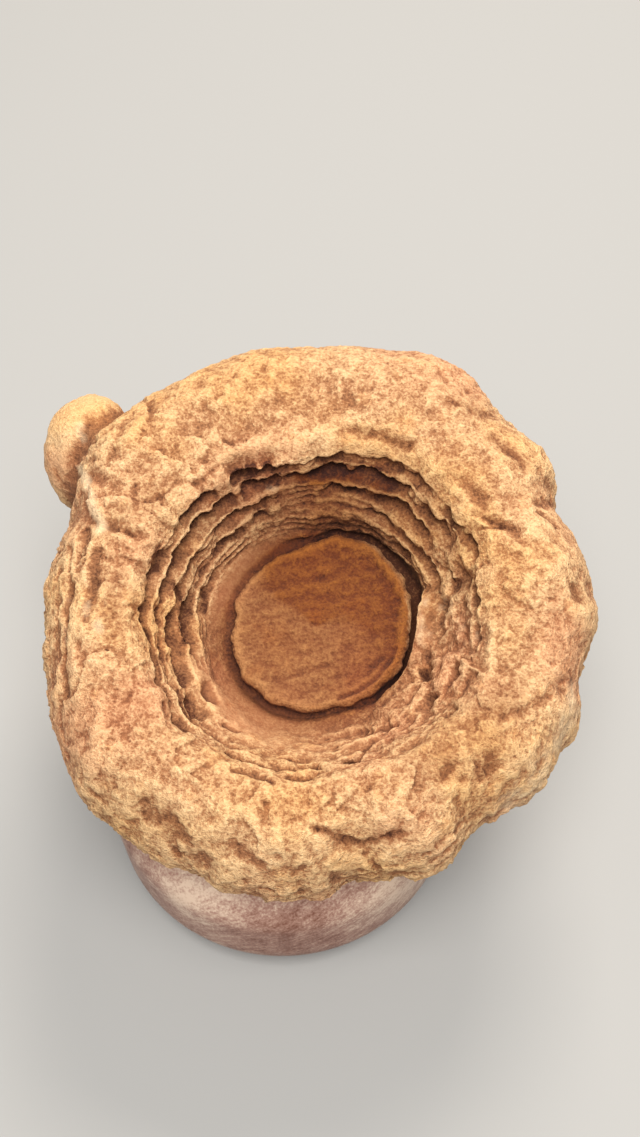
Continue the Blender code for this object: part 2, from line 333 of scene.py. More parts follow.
@dataclass
class Bowl:
    """The button, the moat round it and the shelves that climb to the rim.

    Depths are measured down from the crest of the lip. A curve gives a radius, a rise or a strength at angles
    anticlockwise from +X, as seen looking down the bowl's axis.
    """

    crest: float = 79.0
    button_depth: float = 17.6
    button_dish: float = 1.5
    button_round: float = 0.7
    crumble: Swell = Swell(0.7, 4.4, 3, 2.1)
    moat_depth: float = 23.4
    edge_depth: float = 18.8
    undercut: float = 1.3
    ragged: tuple[Swell, ...] = (Swell(1, 7, 4, 1.7), Swell(1.1, 2.6, 3, 5.9))
    uneven: tuple[tuple[float, Swell], ...] = ((2.1, Swell(1.3, 1, 1, 9.4)), (7, Swell(0.7, 1, 1, 2.8)))
    broken: Swell = Swell(2.4, 6, 1, 4.4)
    noise_radius: float = 30.0
    laid_tilt: float = math.radians(12)
    laid_bend: Swell = Swell(0.9, 9, 1, 2.4)
    laid: Swell = Swell(0.5, 2.4, 3, 3.0)
    crumbs: tuple[Swell, ...] = (Swell(0.35, 3.4, 1, 1.9), Swell(0.45, 1.9, 3, 4.9))
    growth_bend: Swell = Swell(1.4, 13, 1, 5.5)
    growth_lines: float = 2.6
    growth_patch: Swell = Swell(1, 7, 1, 0.8)
    rubble: Swell = Swell(1, 3.8, 3, 6.3)
    calm_radius: float = 18.4
    button: Curve = (
        (0, 20), (10, 20.8), (18, 21.4), (32, 21.8), (47, 21.9), (62, 22.2), (76, 21.7), (90, 19.6),
        (103, 18.2), (120, 18.2), (140, 17.8), (160, 18), (180, 17.6), (200, 18.8), (225, 19), (245, 19.4),
        (262, 19), (280, 18.4), (298, 19), (315, 19.4), (330, 20), (345, 20),
    )
    moat: Curve = (
        (0, 22.2), (14, 24), (25, 25.4), (55, 26.6), (75, 25.4), (95, 21.6), (130, 19.8), (170, 19.7),
        (215, 20.6), (250, 20.8), (270, 20), (285, 19.5), (300, 20), (310, 20.5), (320, 21.2), (335, 21.6),
    )
    edge: Curve = (
        (0, 21.2), (7, 21.7), (13, 23.2), (20, 24.6), (32, 25.2), (48, 25), (62, 25.2), (76, 24.2),
        (95, 22.8), (130, 23.2), (175, 23.6), (215, 24), (240, 24.4), (270, 23.8), (300, 22.6), (325, 21.3),
        (345, 21),
    )
    moat_rise: Curve = (
        (0, -0.4), (45, -1.6), (80, -0.2), (100, 2), (125, 3.1), (165, 3.1), (200, 2.4), (230, 2.2),
        (265, 2.7), (285, 3.5), (300, 3.2), (313, 1.9), (325, 0.8), (340, -0.4),
    )
    clefts: tuple[Cleft, ...] = (
        Cleft(246, 38.8, 252, 37.4, 0.9, -1.1), Cleft(252, 37.4, 257, 38.4, 0.9, -1.1),
        Cleft(262, 36.6, 268, 36.3, 0.45, -1.3), Cleft(268, 36.3, 272, 34.8, 0.4, -0.7),
        Cleft(241, 35.3, 256, 34.6, 0.5, -1.7), Cleft(256, 34.6, 271, 33.7, 0.5, -1.9),
        Cleft(243, 34.1, 256, 33.5, 0.6, 0.6), Cleft(256, 33.5, 270, 32.6, 0.6, 0.7),
        Cleft(258, 32.6, 267, 32.2, 1.2, -0.5), Cleft(271, 33.7, 285, 32.7, 0.5, -1.8),
        Cleft(272, 32.6, 284, 31.7, 0.6, 0.6), Cleft(285, 32.7, 288, 31.4, 0.4, -1),
        Cleft(288, 31.4, 298, 32.8, 0.4, -0.5), Cleft(268, 25.8, 280, 25.6, 0.7, -0.45),
        Cleft(288, 26.6, 295, 26.4, 0.6, -0.7), Cleft(301, 27.8, 304.5, 28.4, 0.6, -1.6),
        Cleft(284, 23.4, 300, 22.8, 0.5, -0.3), Cleft(308, 32.4, 316, 31, 0.6, -0.5),
        Cleft(316, 31.4, 323, 29.8, 0.9, -0.7), Cleft(323, 29, 330, 26.6, 0.7, -0.5),
        Cleft(330.5, 26, 333.5, 25.2, 0.9, -2.0), Cleft(317, 34.7, 320.5, 35.2, 0.5, -0.9),
        Cleft(331, 34.4, 335, 35.6, 0.9, -0.6), Cleft(340, 26.8, 344, 27.2, 0.5, -0.6),
        Cleft(337, 33, 341, 31, 0.6, 0.7), Cleft(334, 36.5, 336.5, 33, 0.6, 0.7),
        Cleft(326, 30.2, 340, 29.4, 1.2, 0.7), Cleft(334, 27.6, 346, 25.4, 0.9, 0.6),
        Cleft(344, 34.4, 351, 33.6, 0.8, -0.5), Cleft(3, 26.8, 8, 27.2, 0.6, -1),
        Cleft(10, 28, 22, 31, 0.9, 0.9), Cleft(352, 23.4, 14, 25, 1.7, 1.4),
        Cleft(212, 29.2, 220, 29.8, 0.6, -0.5), Cleft(218, 34.2, 226, 34.6, 0.6, -0.4),
        Cleft(232, 29.8, 237, 29.4, 0.6, -0.8), Cleft(231, 34.8, 238, 36.4, 0.7, -0.4),
        Cleft(106, 31, 112, 31, 0.7, -0.6), Cleft(105, 29.7, 110, 29.2, 0.8, 0.6),
        Cleft(108, 33.8, 121, 34.5, 1.9, -0.75, 2.5), Cleft(125, 35.8, 135, 36.2, 0.6, -0.5),
        Cleft(22, 41.4, 24.6, 37, 0.6, -0.6), Cleft(30, 40.4, 42, 39.4, 1.3, -0.45),
        Cleft(61, 39.4, 82, 38.6, 1.2, -0.6), Cleft(48, 35, 60, 35.8, 0.7, -0.4),
        Cleft(168, 30.8, 176, 27.2, 0.7, -0.7), Cleft(176, 28.4, 190, 27.4, 0.8, -0.9),
        Cleft(164, 25.4, 172, 24.6, 0.7, -0.9), Cleft(160, 34.4, 166, 34.2, 0.6, -0.9),
        Cleft(286, 16.9, 342, 17.5, 0.5, -0.7), Cleft(298, 14.9, 336, 15.7, 0.5, -0.35),
        Cleft(283, 40.8, 288, 38.6, 0.5, -0.4),
    )
    growth: Curve = (
        (0, 0.1), (30, 0.6), (60, 0.65), (110, 0.6), (140, 0.9), (180, 0.9), (210, 0.6), (240, 0.35),
        (300, 0.4), (330, 0.1),
    )
    edge_rise: Curve = (
        (0, 4.2), (14, 3.6), (24, 1), (45, -1), (75, -1.4), (110, 0.2), (140, 0.9), (180, 0.9), (215, 0.8),
        (240, 0.8), (270, 0.9), (300, 1), (325, 1.6), (345, 3.4),
    )
    ledges: tuple[Ledge, ...] = (
        Ledge(
            15.6,
            (
                (0, 24.6), (20, 25.9), (45, 25.6), (60, 26.2), (76, 25.6), (90, 24.6), (104, 24.8),
                (122, 25.2), (140, 25.3), (155, 26), (170, 25.6), (190, 25), (205, 25.2), (225, 26.6),
                (245, 27), (265, 26.4), (275, 26.6), (292, 26.6), (310, 25), (332, 25.4), (345, 24.9),
            ),
            (
                (0, 0.1), (28, 0.1), (40, 1), (49, 0.4), (60, 0.1), (145, 0.1), (156, 0.5), (171, 0.9),
                (178, 0.1), (262, 0.02), (275, 0.15), (292, 0.2), (310, 0.05), (331, 0.2), (345, 0.1),
            ),
        ),
        Ledge(
            12.6,
            (
                (0, 27), (12, 28), (27, 28.2), (40, 27.3), (55, 28.2), (66, 28.9), (80, 28.4), (100, 27.6),
                (110, 27.2), (118, 27.6), (130, 27), (145, 27.7), (160, 27.9), (175, 28.6), (190, 28.2),
                (205, 28.2), (218, 29.4), (235, 29.8), (255, 29.2), (275, 28.6), (290, 28.2), (303, 28.3),
                (320, 28), (332, 27.6), (345, 27.4),
            ),
            (
                (0, 0.2), (20, 0.3), (30, 0.8), (45, 0.7), (62, 0.4), (72, 0.08), (110, 0.06), (122, 0.7),
                (138, 0.4), (150, 0.15), (165, 0.2), (176, 1.1), (190, 1.2), (198, 0.2), (208, 0.1),
                (217, 0.5), (225, 0.05), (235, 0.3), (242, 0), (265, 0), (290, 0.05), (302, 0.2),
                (312, 0.05), (340, 0.2),
            ),
        ),
        Ledge(
            9.5,
            (
                (0, 30), (15, 30.5), (22, 31), (30, 30.2), (45, 31), (54, 31.5), (60, 30.9), (80, 30.5),
                (88, 29.8), (100, 29.7), (110, 29.3), (127, 29.2), (140, 29.5), (157, 29.2), (172, 30),
                (183, 31.2), (195, 31.7), (210, 32.3), (222, 33.4), (240, 32.4), (260, 31.8), (275, 31.4),
                (287, 31.2), (300, 31), (315, 31.4), (335, 30.4),
            ),
            (
                (0, 0.2), (22, 0.5), (45, 0.6), (60, 0.8), (90, 0.6), (105, 0.4), (122, 1.1), (135, 0.8),
                (150, 0.3), (170, 0.5), (185, 0.7), (200, 0.5), (222, 0.5), (230, 0.05), (255, 0.02),
                (275, 0.1), (287, 0.2), (300, 0.05), (316, 0.3), (326, 0.2), (340, 0.1),
            ),
        ),
        Ledge(
            6.2,
            (
                (0, 31.9), (15, 33), (30, 33.2), (45, 33.3), (55, 34.2), (70, 33.7), (82, 33), (90, 31.9),
                (98, 30.9), (106, 31.1), (113, 31.8), (120, 32.3), (127, 31.7), (140, 32.5), (160, 32.2),
                (170, 32.5), (182, 33.2), (195, 33.9), (210, 34.4), (222, 35.2), (240, 34.8), (255, 34.4),
                (268, 34.2), (275, 33.3), (285, 33), (300, 33), (315, 33.4), (335, 32.8),
            ),
            (
                (0, 0.2), (20, 0.2), (45, 0.4), (58, 1.4), (70, 2.2), (85, 2.4), (97, 1.3), (108, 1.2),
                (118, 0.9), (125, 1.8), (145, 1.9), (165, 1.5), (175, 0.8), (190, 0.3), (210, 0.4),
                (222, 0.6), (232, 0.2), (245, 0.1), (262, 0.2), (275, 0.4), (284, 0.4), (296, 0.05),
                (320, 0.1), (335, 0.3), (350, 0.2),
            ),
        ),
        Ledge(
            3.3,
            (
                (0, 33.4), (8, 33.6), (13, 34.5), (20, 35.8), (26, 35.4), (31, 34.6), (37, 35.2),
                (50, 35.8), (58, 37), (66, 36.6), (75, 35.2), (82, 34.4), (88, 33.3), (97, 32), (104, 32.3),
                (112, 33), (120, 33.8), (128, 33.1), (135, 33.7), (141, 34.4), (150, 34.1), (162, 34.3),
                (172, 34.8), (180, 35.4), (187, 36), (193, 35.4), (201, 35.2), (209, 36.2), (216, 36.8),
                (224, 37.4), (240, 36.6), (252, 36), (262, 36.7), (268, 36.2), (273, 35), (285, 34.8),
                (300, 35), (319, 35.4), (330, 35.6), (336, 35.2), (345, 34.2), (352, 33.6),
            ),
            (
                (0, 1), (8, 0.6), (13, 1), (22, 1.1), (27, 0.4), (32, 1), (40, 0.3), (58, 0.6), (75, 0.8),
                (85, 0.6), (94, 0.1), (103, 0.8), (120, 2.2), (138, 2.3), (148, 0.4), (156, 0.5),
                (163, 1.2), (170, 0.9), (176, 2.0), (190, 1.8), (198, 0.6), (207, 1.1), (216, 1.7),
                (223, 0.8), (230, 0.05), (248, 0.1), (258, 0.05), (266, 0.2), (273, 0.1), (300, 0.02),
                (320, 0.1), (335, 0.2), (345, 0.2), (352, 0.5),
            ),
        ),
    )

    def button_edge(self, degrees: np.ndarray, noise: StoneNoise) -> np.ndarray:
        """Radius of the button's crumbling edge at each angle."""
        circle = circle_points(degrees, 0.9) * 19
        return around(self.button, degrees) + noise.layers(circle, self.crumble)

    def button_top(self, degrees: np.ndarray, edge: np.ndarray, count: int) -> np.ndarray:
        """Rings of the dished top of the button, out to its edge, which stands up most on the right.

        Args:
            degrees: The angle of each point round a ring.
            edge: Radius of the edge at each angle.
            count: How many rings to make.

        Returns:
            Array of rings by (radius, height) by angles.
        """
        share = np.linspace(0, 1, count, endpoint=False)[:, None] * np.ones_like(degrees)
        height = self.crest - self.button_depth - self.button_dish * (1 - share**3)
        right = hump(apart(degrees, 25), 70)
        height += (0.1 + 0.7 * right) * hump(share - 0.92, 0.055)
        height -= self.button_round * smooth_step(share, 0.95, 1.0)
        return np.stack([share * edge, height], axis=1)

    def moat_rings(self, degrees: np.ndarray, button: np.ndarray, count: int) -> np.ndarray:
        """Rings of the button's side, the moat's floor and the wall up to the first edge.

        Args:
            degrees: The angle of each point round a ring.
            button: Radius of the button's edge at each angle.
            count: How many rings to make.

        Returns:
            Array of rings by (radius, height) by angles.
        """
        top = self.crest - self.button_depth - self.button_round
        floor = self.crest - self.moat_depth + around(self.moat_rise, degrees)
        far, edge = around(self.moat, degrees), around(self.edge, degrees)
        rise = self.crest - self.edge_depth + around(self.edge_rise, degrees)
        soft = smooth_step(around(self.moat_rise, degrees), 0.5, 2.0)
        foot, turn = floor + 0.9 - 0.5 * soft, 0.5 - 0.25 * soft
        stations = [
            (button, top + 0 * button), (button + 0.1, top - 0.8 + 0 * button),
            (button * 0.8 + far * 0.2 - 0.3, floor + 0.6), (button * 0.4 + far * 0.6, floor),
            (far, foot), (far * 0.8 + edge * 0.2, foot * (1 - turn) + rise * turn),
            (edge + 0.1 - 1.3 * soft, rise - 0.7 - 0.2 * soft), (edge + 0.2, rise),
        ]
        return along_stations(np.array(stations), count)

    def ledge_rings(self, degrees: np.ndarray, count: int, noise: StoneNoise) -> np.ndarray:
        """Rings of the stepped wall, each shelf a tread, a recess and an overhanging lip.

        Args:
            degrees: The angle of each point round a ring.
            count: How many rings a shelf has.
            noise: What makes the lips wander and chip.

        Returns:
            Array of rings by (radius, height) by angles.
        """
        start = around(self.edge, degrees) + 0.2
        low = self.crest - self.edge_depth + around(self.edge_rise, degrees)
        rings = []
        for step, ledge in enumerate(self.ledges):
            circle = circle_points(degrees, 0.37 * step)
            ragged = noise.layers(circle * self.noise_radius, *self.ragged)
            uneven = noise.waves(circle, self.uneven)
            broken = np.clip(1 + noise.layers(circle * self.noise_radius, self.broken), 0.1, 1.7)
            strength = around(ledge.hollow, degrees) * broken
            stepped = smooth_step(strength, 0.0, 0.6)
            end = around(ledge.lip, degrees) + 0.95 * ragged * (0.35 + 0.65 * stepped)
            high = self.crest - ledge.drop + 0.7 * uneven
            end = np.maximum(end, start + 0.5)
            rise, depth = high - low, self.undercut * strength
            shape = (
                (start, 0.0), (start * 0.6 + end * 0.4, 0.02), (end + depth * 0.75, 0.14),
                (end + depth, 0.42), (end + 0.35 * depth, 0.68), (end - 0.12, 0.84), (end, 1.0),
            )
            plain = np.linspace(0, 1, len(shape))
            stations = np.array([
                (radius * stepped + (start + (end - start) * even) * (1 - stepped),
                 low + rise * (share * stepped + even * (1 - stepped)))
                for (radius, share), even in zip(shape, plain)
            ])
            spots = np.linspace(0, len(stations) - 1, count, endpoint=False)
            left = spots.astype(int)
            share = (spots - left)[:, None, None]
            rings.append(stations[left] * (1 - share) + stations[left + 1] * share)
            start, low = end, high
        return np.concatenate(rings + [np.array([[start, low]])])


@dataclass
class Crust:
    """The rounded lip and the outer wall, with their lumps, creases, pits and grains.

    Depths are measured down from the crest. A lump is an angle, a depth, a width and a height.
    """

    crest: float = 79.0
    rim_depth: float = 3.4
    lip_radius: float = 44.0
    radius: float = 59.4
    depth: float = 17.5
    edge_radius: float = 42.6
    edge_line: Curve = (
        (0, 31), (60, 30), (120, 29), (180, 31), (212, 33.6), (226, 35.8), (237, 37.6), (243, 36),
        (250, 36.4), (258, 37.4), (270, 37.2), (280, 38.6), (287, 39), (296, 37), (309, 34.6), (325, 32),
        (345, 31),
    )
    edge_waves: tuple[tuple[float, Swell], ...] = ((6, Swell(1, 1, 1, 2.2)), (20, Swell(1, 1, 3, 6.6)))
    edge_wave: float = 0.9
    crest_fall: Curve = ((0, 0), (45, 0.6), (75, 0.8), (105, 2.2), (130, 1.8), (160, 0.4), (200, 0))
    outline: Curve = (
        (2, 59.2), (9, 59.8), (22, 58.4), (28, 59.4), (34, 61.8), (42, 62.6), (49, 62.4), (60, 67.2),
        (67, 68), (78, 67.4), (88, 66.6), (98, 66.6), (108, 66.2), (117, 65), (128, 65.4), (138, 64.6),
        (150, 61), (159, 57.6), (172, 58.2), (182, 56.8), (192, 57.6), (207, 59), (218, 60), (232, 59.4),
        (244, 58.6), (254, 58.8), (268, 57.2), (279, 55), (290, 56), (309, 54.2), (320, 56.4), (329, 56.6),
        (336, 57.8), (350, 57),
    )
    lamina: float = 2.8
    lamina_tilt: float = 0.22
    wander: float = 1.3
    worn: Swell = Swell(0.7, 3, 3, 4.6)
    broad: Swell = Swell(0.6, 17, 1, 5.0)
    knolls: Swell = Swell(1, 8, 1, 2.0)
    facet_bend: Swell = Swell(1.2, 7, 1, 3.3)
    facet: Swell = Swell(0.7, 8.5, 1, 4.2)
    chip: Swell = Swell(0.3, 3.4, 1, 1.3)
    crumbs: Swell = Swell(1, 4.2, 3, 2.9)
    grains: Swell = Swell(0.34, 1.5, 2, 0.4)
    pit_patch: Swell = Swell(1, 14, 1, 9.0)
    lamina_bend: tuple[Swell, ...] = (Swell(2.0, 15, 1, 1.1), Swell(0.7, 5, 1, 6.1))
    lamina_patch: Swell = Swell(1, 11, 1, 2.7)
    coarseness: Curve = (
        (0, 0.5), (30, 0.45), (60, 0.35), (95, 0.4), (125, 0.8), (150, 1), (180, 0.8), (220, 0.8),
        (260, 0.85), (290, 0.65), (315, 0.45), (340, 0.4),
    )
    wall_swell: Curve = (
        (30, 4), (90, 7), (150, 5), (190, 1), (215, -1), (230, -2.6), (270, -1.4), (312, -3.2), (350, 1),
    )
    marks: tuple[Mark, ...] = (
        Mark(56, 28, 47, 22, 1.5, -1.2), Mark(47, 20, 50, 17, 0.9, -0.8),
        Mark(33, 18.4, 41, 14.2, 1, -1.3, 1.5), Mark(36, -25.4, 48.4, -19.2, 0.9, -0.6),
        Mark(48.4, -19.2, 58, -11, 2.2, -0.8), Mark(40, -14, 30, -17, 4, -0.6),
        Mark(53.6, -24, 53.6, -24, 5, 0.9), Mark(55, -2, 55, -2, 6, 0.9), Mark(45, -35, 45, -35, 8, 1.6),
        Mark(38, -42, 38, -42, 5, 1), Mark(35, -40.6, 35, -40.6, 2.4, 1.2),
        Mark(24.4, -36.6, 26, -35.4, 1.6, -0.7), Mark(32, -35.4, 33, -33, 2, -0.8),
        Mark(-31.6, -43, -27, -47, 2.8, -1.1, 3), Mark(-26.4, -50, -21.6, -53.4, 2.2, -0.9, 3),
        Mark(-42, -36, -40, -30, 6, 1.2), Mark(3.5, -47.8, 13, -48.4, 1.8, -0.4, 4),
        Mark(0, -46.8, 8.8, -49.6, 0.7, -1.1), Mark(8.8, -49.6, 16.4, -46.8, 0.7, -1.2),
        Mark(9, -49.6, 11.6, -52.6, 0.7, -0.9), Mark(4, -54.8, 18, -53.4, 1, -0.9),
        Mark(22, -50, 24, -48, 5, 1.6), Mark(12, -52, 16, -51, 2.2, 0.9), Mark(14, -41, 18, -43, 4, 1),
        Mark(-8, -50, -4, -52, 6, 1), Mark(-16, -50, -10, -52.4, 1, -0.7),
        Mark(20, 34.5, 8, 38.4, 1.5, -1.3), Mark(32, 25, 37, 19, 1.6, -0.4),
        Mark(-46, 17.2, -33, 12.2, 1.4, -1.1), Mark(-49.2, 16, -48.6, 8.4, 0.9, -1.5),
        Mark(-51.6, 13, -50.8, -3, 0.9, -1.4), Mark(-50.8, -3, -50, -20, 0.9, -1.1),
        Mark(-47, 11.5, -47.8, -4, 1.3, 0.7), Mark(-45, 10, -45.8, -7, 0.9, -0.7),
        Mark(-53.6, 8, -53, -16, 1, -1), Mark(-50.5, 31, -44.6, 16.6, 1.5, 0.7),
        Mark(-48, 33, -44, 40, 5, 1.8), Mark(-43, 38, -40, 36, 9, 1.2), Mark(-24, 52, -12, 54, 8, 1),
        Mark(2, 50, 6, 48, 7, -1.2), Mark(50, 36, 50, 36, 7, 1.6), Mark(42, 50, 42, 50, 7, 1.4),
        Mark(30, 57, 26, 58, 7, 1.2), Mark(-30, 20, -28, 24, 5, -1), Mark(-45, -8, -44, -14, 5, 1.2),
        Mark(44, 2, 46, 10, 7, 1.2), Mark(36, -4, 37, 4, 2, -0.7), Mark(38, 37, 44.6, 30.4, 1.2, -0.5),
        Mark(28.4, 45.6, 36.4, 43.6, 0.9, -0.4), Mark(52.4, 2.6, 54, 0.4, 1.1, -0.8),
        Mark(-22, -29, -20, -31, 1.6, -0.5),
    )
    lumps: tuple[tuple[float, float, float, float], ...] = (
        (18, 26, 11, 1), (47, 24, 12, 1.2), (64, 38, 12, 2), (84, 30, 11, 1), (104, 40, 13, 2.2),
        (128, 34, 11, 0.8), (150, 40, 12, 1.6), (168, 30, 10, 1), (186, 38, 12, 1.2), (208, 28, 10, 0.8),
        (252, 30, 10, 1), (284, 30, 10, 1.2), (345, 30, 12, 1.2), (2, 42, 12, 1.4),
    )

    def lip_rings(self, degrees: np.ndarray, rim: np.ndarray, start: np.ndarray, count: int) -> np.ndarray:
        """Rings from the rim over the crest to the widest line.

        Args:
            degrees: The angle of each point round a ring.
            rim: Radius of the rim at each angle.
            start: Height of the rim at each angle.
            count: How many rings to make.

        Returns:
            Array of rings by (radius, height) by angles.
        """
        outline = around(self.outline, degrees)
        fall = around(self.crest_fall, degrees)
        spread = self.lip_radius / 35.0 * rim * 0.3 + self.lip_radius / self.radius * outline * 0.7
        stations = [(rim, start)]
        for share in (0.2, 0.5, 0.8):
            angle = math.radians(150 - 60 * share)
            level = self.crest - self.rim_depth + self.rim_depth * math.sin(angle)
            level = level + (start - self.crest + self.rim_depth) * (1 - share) - fall * share
            stations.append((spread + (spread - rim) * math.cos(angle), level))
        for angle in np.radians(np.linspace(90, 0, 8)):
            level = self.crest - self.depth + self.depth * math.sin(angle) - fall * math.sin(angle) ** 2
            stations.append((spread + (outline - spread) * math.cos(angle), level))
        return along_stations(np.array(stations), count)

    def wall_rings(self, degrees: np.ndarray, count: int) -> np.ndarray:
        """Rings from the widest line down to the crust's lower edge.

        Args:
            degrees: The angle of each point round a ring.
            count: How many rings to make.

        Returns:
            Array of rings by (radius, height) by angles.
        """
        share = np.linspace(0, 1, count, endpoint=False)[:, None]
        widest = self.crest - self.depth
        scale = around(self.outline, degrees) / self.radius
        eased = smooth_step(share, 0, 1)
        radius = self.radius + (self.edge_radius - self.radius) * share**1.1
        swell = around(self.wall_swell, degrees) * 4 * share * (1 - share)
        radius = radius * (scale * (1 - eased) + eased) + swell
        height = widest + (around(self.edge_line, degrees) - widest) * share
        return np.stack([radius, height], axis=1)

    def large_relief(self, points: np.ndarray, degrees: np.ndarray, noise: StoneNoise) -> np.ndarray:
        """Marks, lumps and broad swells, as a distance along the surface's outward direction.

        Args:
            points: Points of the upright skin by (x, y, z).
            degrees: The angle of each point.
            noise: The stone's noise.

        Returns:
            Heights in millimetres.
        """
        near_top = smooth_step(points[:, 2], self.crest - 38, self.crest - 26)
        wander = np.stack([noise.rough(points, 5, 3, shift) for shift in (1.1, 7.7)], axis=1)
        near_top *= 1 + noise.layers(points, self.worn)
        plan = points[:, :2] + self.wander * wander
        relief = together([mark.relief(plan) for mark in self.marks]) * near_top
        for angle, below, width, tall in self.lumps:
            aside = np.radians(apart(degrees, angle)) * self.radius
            up = points[:, 2] - (self.crest - below)
            relief += tall * np.exp(-(aside**2 + up**2) / width**2)
        swells = (0.4 + 0.5 * around(self.coarseness, degrees)) * noise.layers(points, self.knolls)
        return relief + noise.layers(points, self.broad) + swells

    def small_relief(self, points: np.ndarray, degrees: np.ndarray, noise: StoneNoise) -> np.ndarray:
        """Chips, growth lines, crumbs and wrinkles, as a distance along the surface's direction.

        Args:
            points: Points of the crust by (x, y, z).
            degrees: The angle of each point.
            noise: The stone's noise.

        Returns:
            Heights in millimetres.
        """
        coarse = around(self.coarseness, degrees)
        bent = points + noise.layers(points, self.facet_bend)[:, None]
        relief = coarse * (noise.facets(bent, self.facet) + noise.facets(points * (1, 1, 1.3), self.chip))
        relief += (0.2 + 0.3 * coarse) * noise.layers(points, self.crumbs)
        relief += noise.layers(points, self.grains) - 0.14 * noise.worms(points, 2.6, 3.3) ** 3
        pits, _ = noise.cells(points, 3.0, 8.8)
        patch = smooth_step(noise.layers(points, self.pit_patch), 0.3, 0.5)
        relief -= 0.5 * patch * smooth_step(-pits, -0.36, -0.1)
        side = smooth_step(-points[:, 2], -(self.crest - 5), -(self.crest - 14))
        bend = noise.layers(points, *self.lamina_bend)
        phase = (points[:, 2] - self.lamina_tilt * points[:, 0] + bend) / self.lamina
        line = (phase - np.floor(phase)) ** 2 * 2 - 0.7
        left = hump(np.mod(degrees, 360) - 180, 34)
        front = hump(np.mod(degrees, 360) - 272, 36)
        front *= smooth_step(noise.layers(points, self.lamina_patch), -0.3, 0.3)
        return relief + side * (0.1 + 0.35 * left + 0.5 * front) * line


@dataclass
class Foot:
    """The foot, ground smooth, with a rounded lower edge and a flat spot."""

    radius: float = 39.4
    edge: float = 11.0
    flat: float = 28.0

    def rings(self, degrees: np.ndarray, top: np.ndarray, count: int) -> np.ndarray:
        """Rings from below the crust's edge to the middle of the flat spot.

        Args:
            degrees: The angle of each point round a ring.
            top: Height of the crust's edge at each angle.
            count: How many rings to make above the flat spot.

        Returns:
            Array of rings by (radius, height) by angles.
        """
        even = np.ones_like(degrees)
        stations = [((self.radius + 1.4) * even, top - 0.2), ((self.radius + 1.2) * even, top - 2.0)]
        for share in (0.35, 0.7):
            radius = (self.radius + 1.2 * (1 - share)) * even
            stations.append((radius, top * (1 - share) + (self.edge + 1) * share))
        for angle in np.radians(np.linspace(0, -90, 10)):
            reach = self.flat + (self.radius - self.flat) * math.cos(angle)
            stations.append((reach * even, (self.edge + self.edge * math.sin(angle)) * even))
        smooth = along_stations(np.array(stations), count)
        sole = [(self.flat * share, 0.0) for share in np.linspace(1, 0, 9)]
        return np.concatenate([smooth, np.array(sole)[:, :, None] * np.ones_like(degrees)])


@dataclass
class SideLobe:
    """The rounded lobe at the back left of the crust, longer from front to back than it is wide."""

    middle: tuple[float, float, float] = (-51.4, 43.0, 58.4)
    radii: tuple[float, float, float] = (10.6, 13.0, 11.6)
    tilt: float = math.radians(22)
    sink: float = 3.2

    def bud(self, points: np.ndarray) -> np.ndarray:
        """Blows the crust out into the lobe, over a round patch of it.

        Args:
            points: Points of the crust by (x, y, z), in the head's upright frame.

        Returns:
            The points, with those of the patch moved on to the lobe.
        """
        middle = np.array(self.middle)
        axes = np.array([
            (1.0, 0.0, 0.0), (0.0, math.cos(self.tilt), math.sin(self.tilt)),
            (0.0, -math.sin(self.tilt), math.cos(self.tilt)),
        ])
        stretch = axes.T @ np.diag(self.radii) @ axes
        outward = np.array((middle[0], middle[1], 0.0))
        outward /= np.linalg.norm(outward)
        side = np.array((-outward[1], outward[0], 0.0))
        up = np.array((0.0, 0.0, 1.0))
        offset = points - middle
        plane = np.stack([offset @ side, offset @ up], axis=1)
        reach = sum(self.radii) / 3
        widest_angle = math.acos(-self.sink / reach)
        neck = reach * math.sin(widest_angle)
        away = np.linalg.norm(plane, axis=1)
        share = away / neck
        angle = widest_angle * np.clip(share, 0, 1)
        heading = plane / np.maximum(away, 1e-6)[:, None]
        turned = heading[:, :1] * side + heading[:, 1:] * up
        onto = middle + (np.sin(angle)[:, None] * turned + np.cos(angle)[:, None] * outward) @ stretch
        keep = smooth_step(share, 0.8, 1.06)[:, None]
        facing = (offset @ outward > -self.sink - 14)[:, None]
        return np.where(facing & (share < 1.06)[:, None], onto * (1 - keep) + points * keep, points)

    def cover(self, points: np.ndarray, near: float, far: float) -> np.ndarray:
        """1 on the lobe and 0 away from it, fading between two shares of its radii."""
        return smooth_step(-np.linalg.norm((points - self.middle) / self.radii, axis=1), -far, -near)


@dataclass
class Lean:
    """How the head leans forward over the upright foot."""

    angle: float = math.radians(16.0)
    pivot: float = 40.0
    low: float = 22.0
    high: float = 60.0
    shift: tuple[float, float, float] = (7.7, 19.3, 0.7)

    def apply(self, points: np.ndarray, height: np.ndarray) -> np.ndarray:
        """Leans and shifts the points.

        Args:
            points: Points of the upright stone by (x, y, z).
            height: How high each one was on the upright stone.

        Returns:
            The points, in the row frame.
        """
        lean = smooth_step(height, self.low, self.high)
        cosine, sine = np.cos(self.angle * lean), np.sin(self.angle * lean)
        up = points[:, 2] - self.pivot
        forward = points[:, 1] * cosine - up * sine
        raised = self.pivot + up * cosine + points[:, 1] * sine
        leaned = np.stack([points[:, 0], forward, raised], axis=1)
        return leaned + lean[:, None] * np.array(self.shift)


def to_linear(code: str) -> tuple[float, float, float, float]:
    """Turns a colour linear.

    Args:
        code: The colour as sRGB hex.

    Returns:
        Linear red, green and blue, and an alpha of 1.
    """
    parts = [int(code.lstrip("#")[i : i + 2], 16) / 255 for i in (0, 2, 4)]
    red, green, blue = (p / 12.92 if p <= 0.04045 else ((p + 0.055) / 1.055) ** 2.4 for p in parts)
    return red, green, blue, 1.0


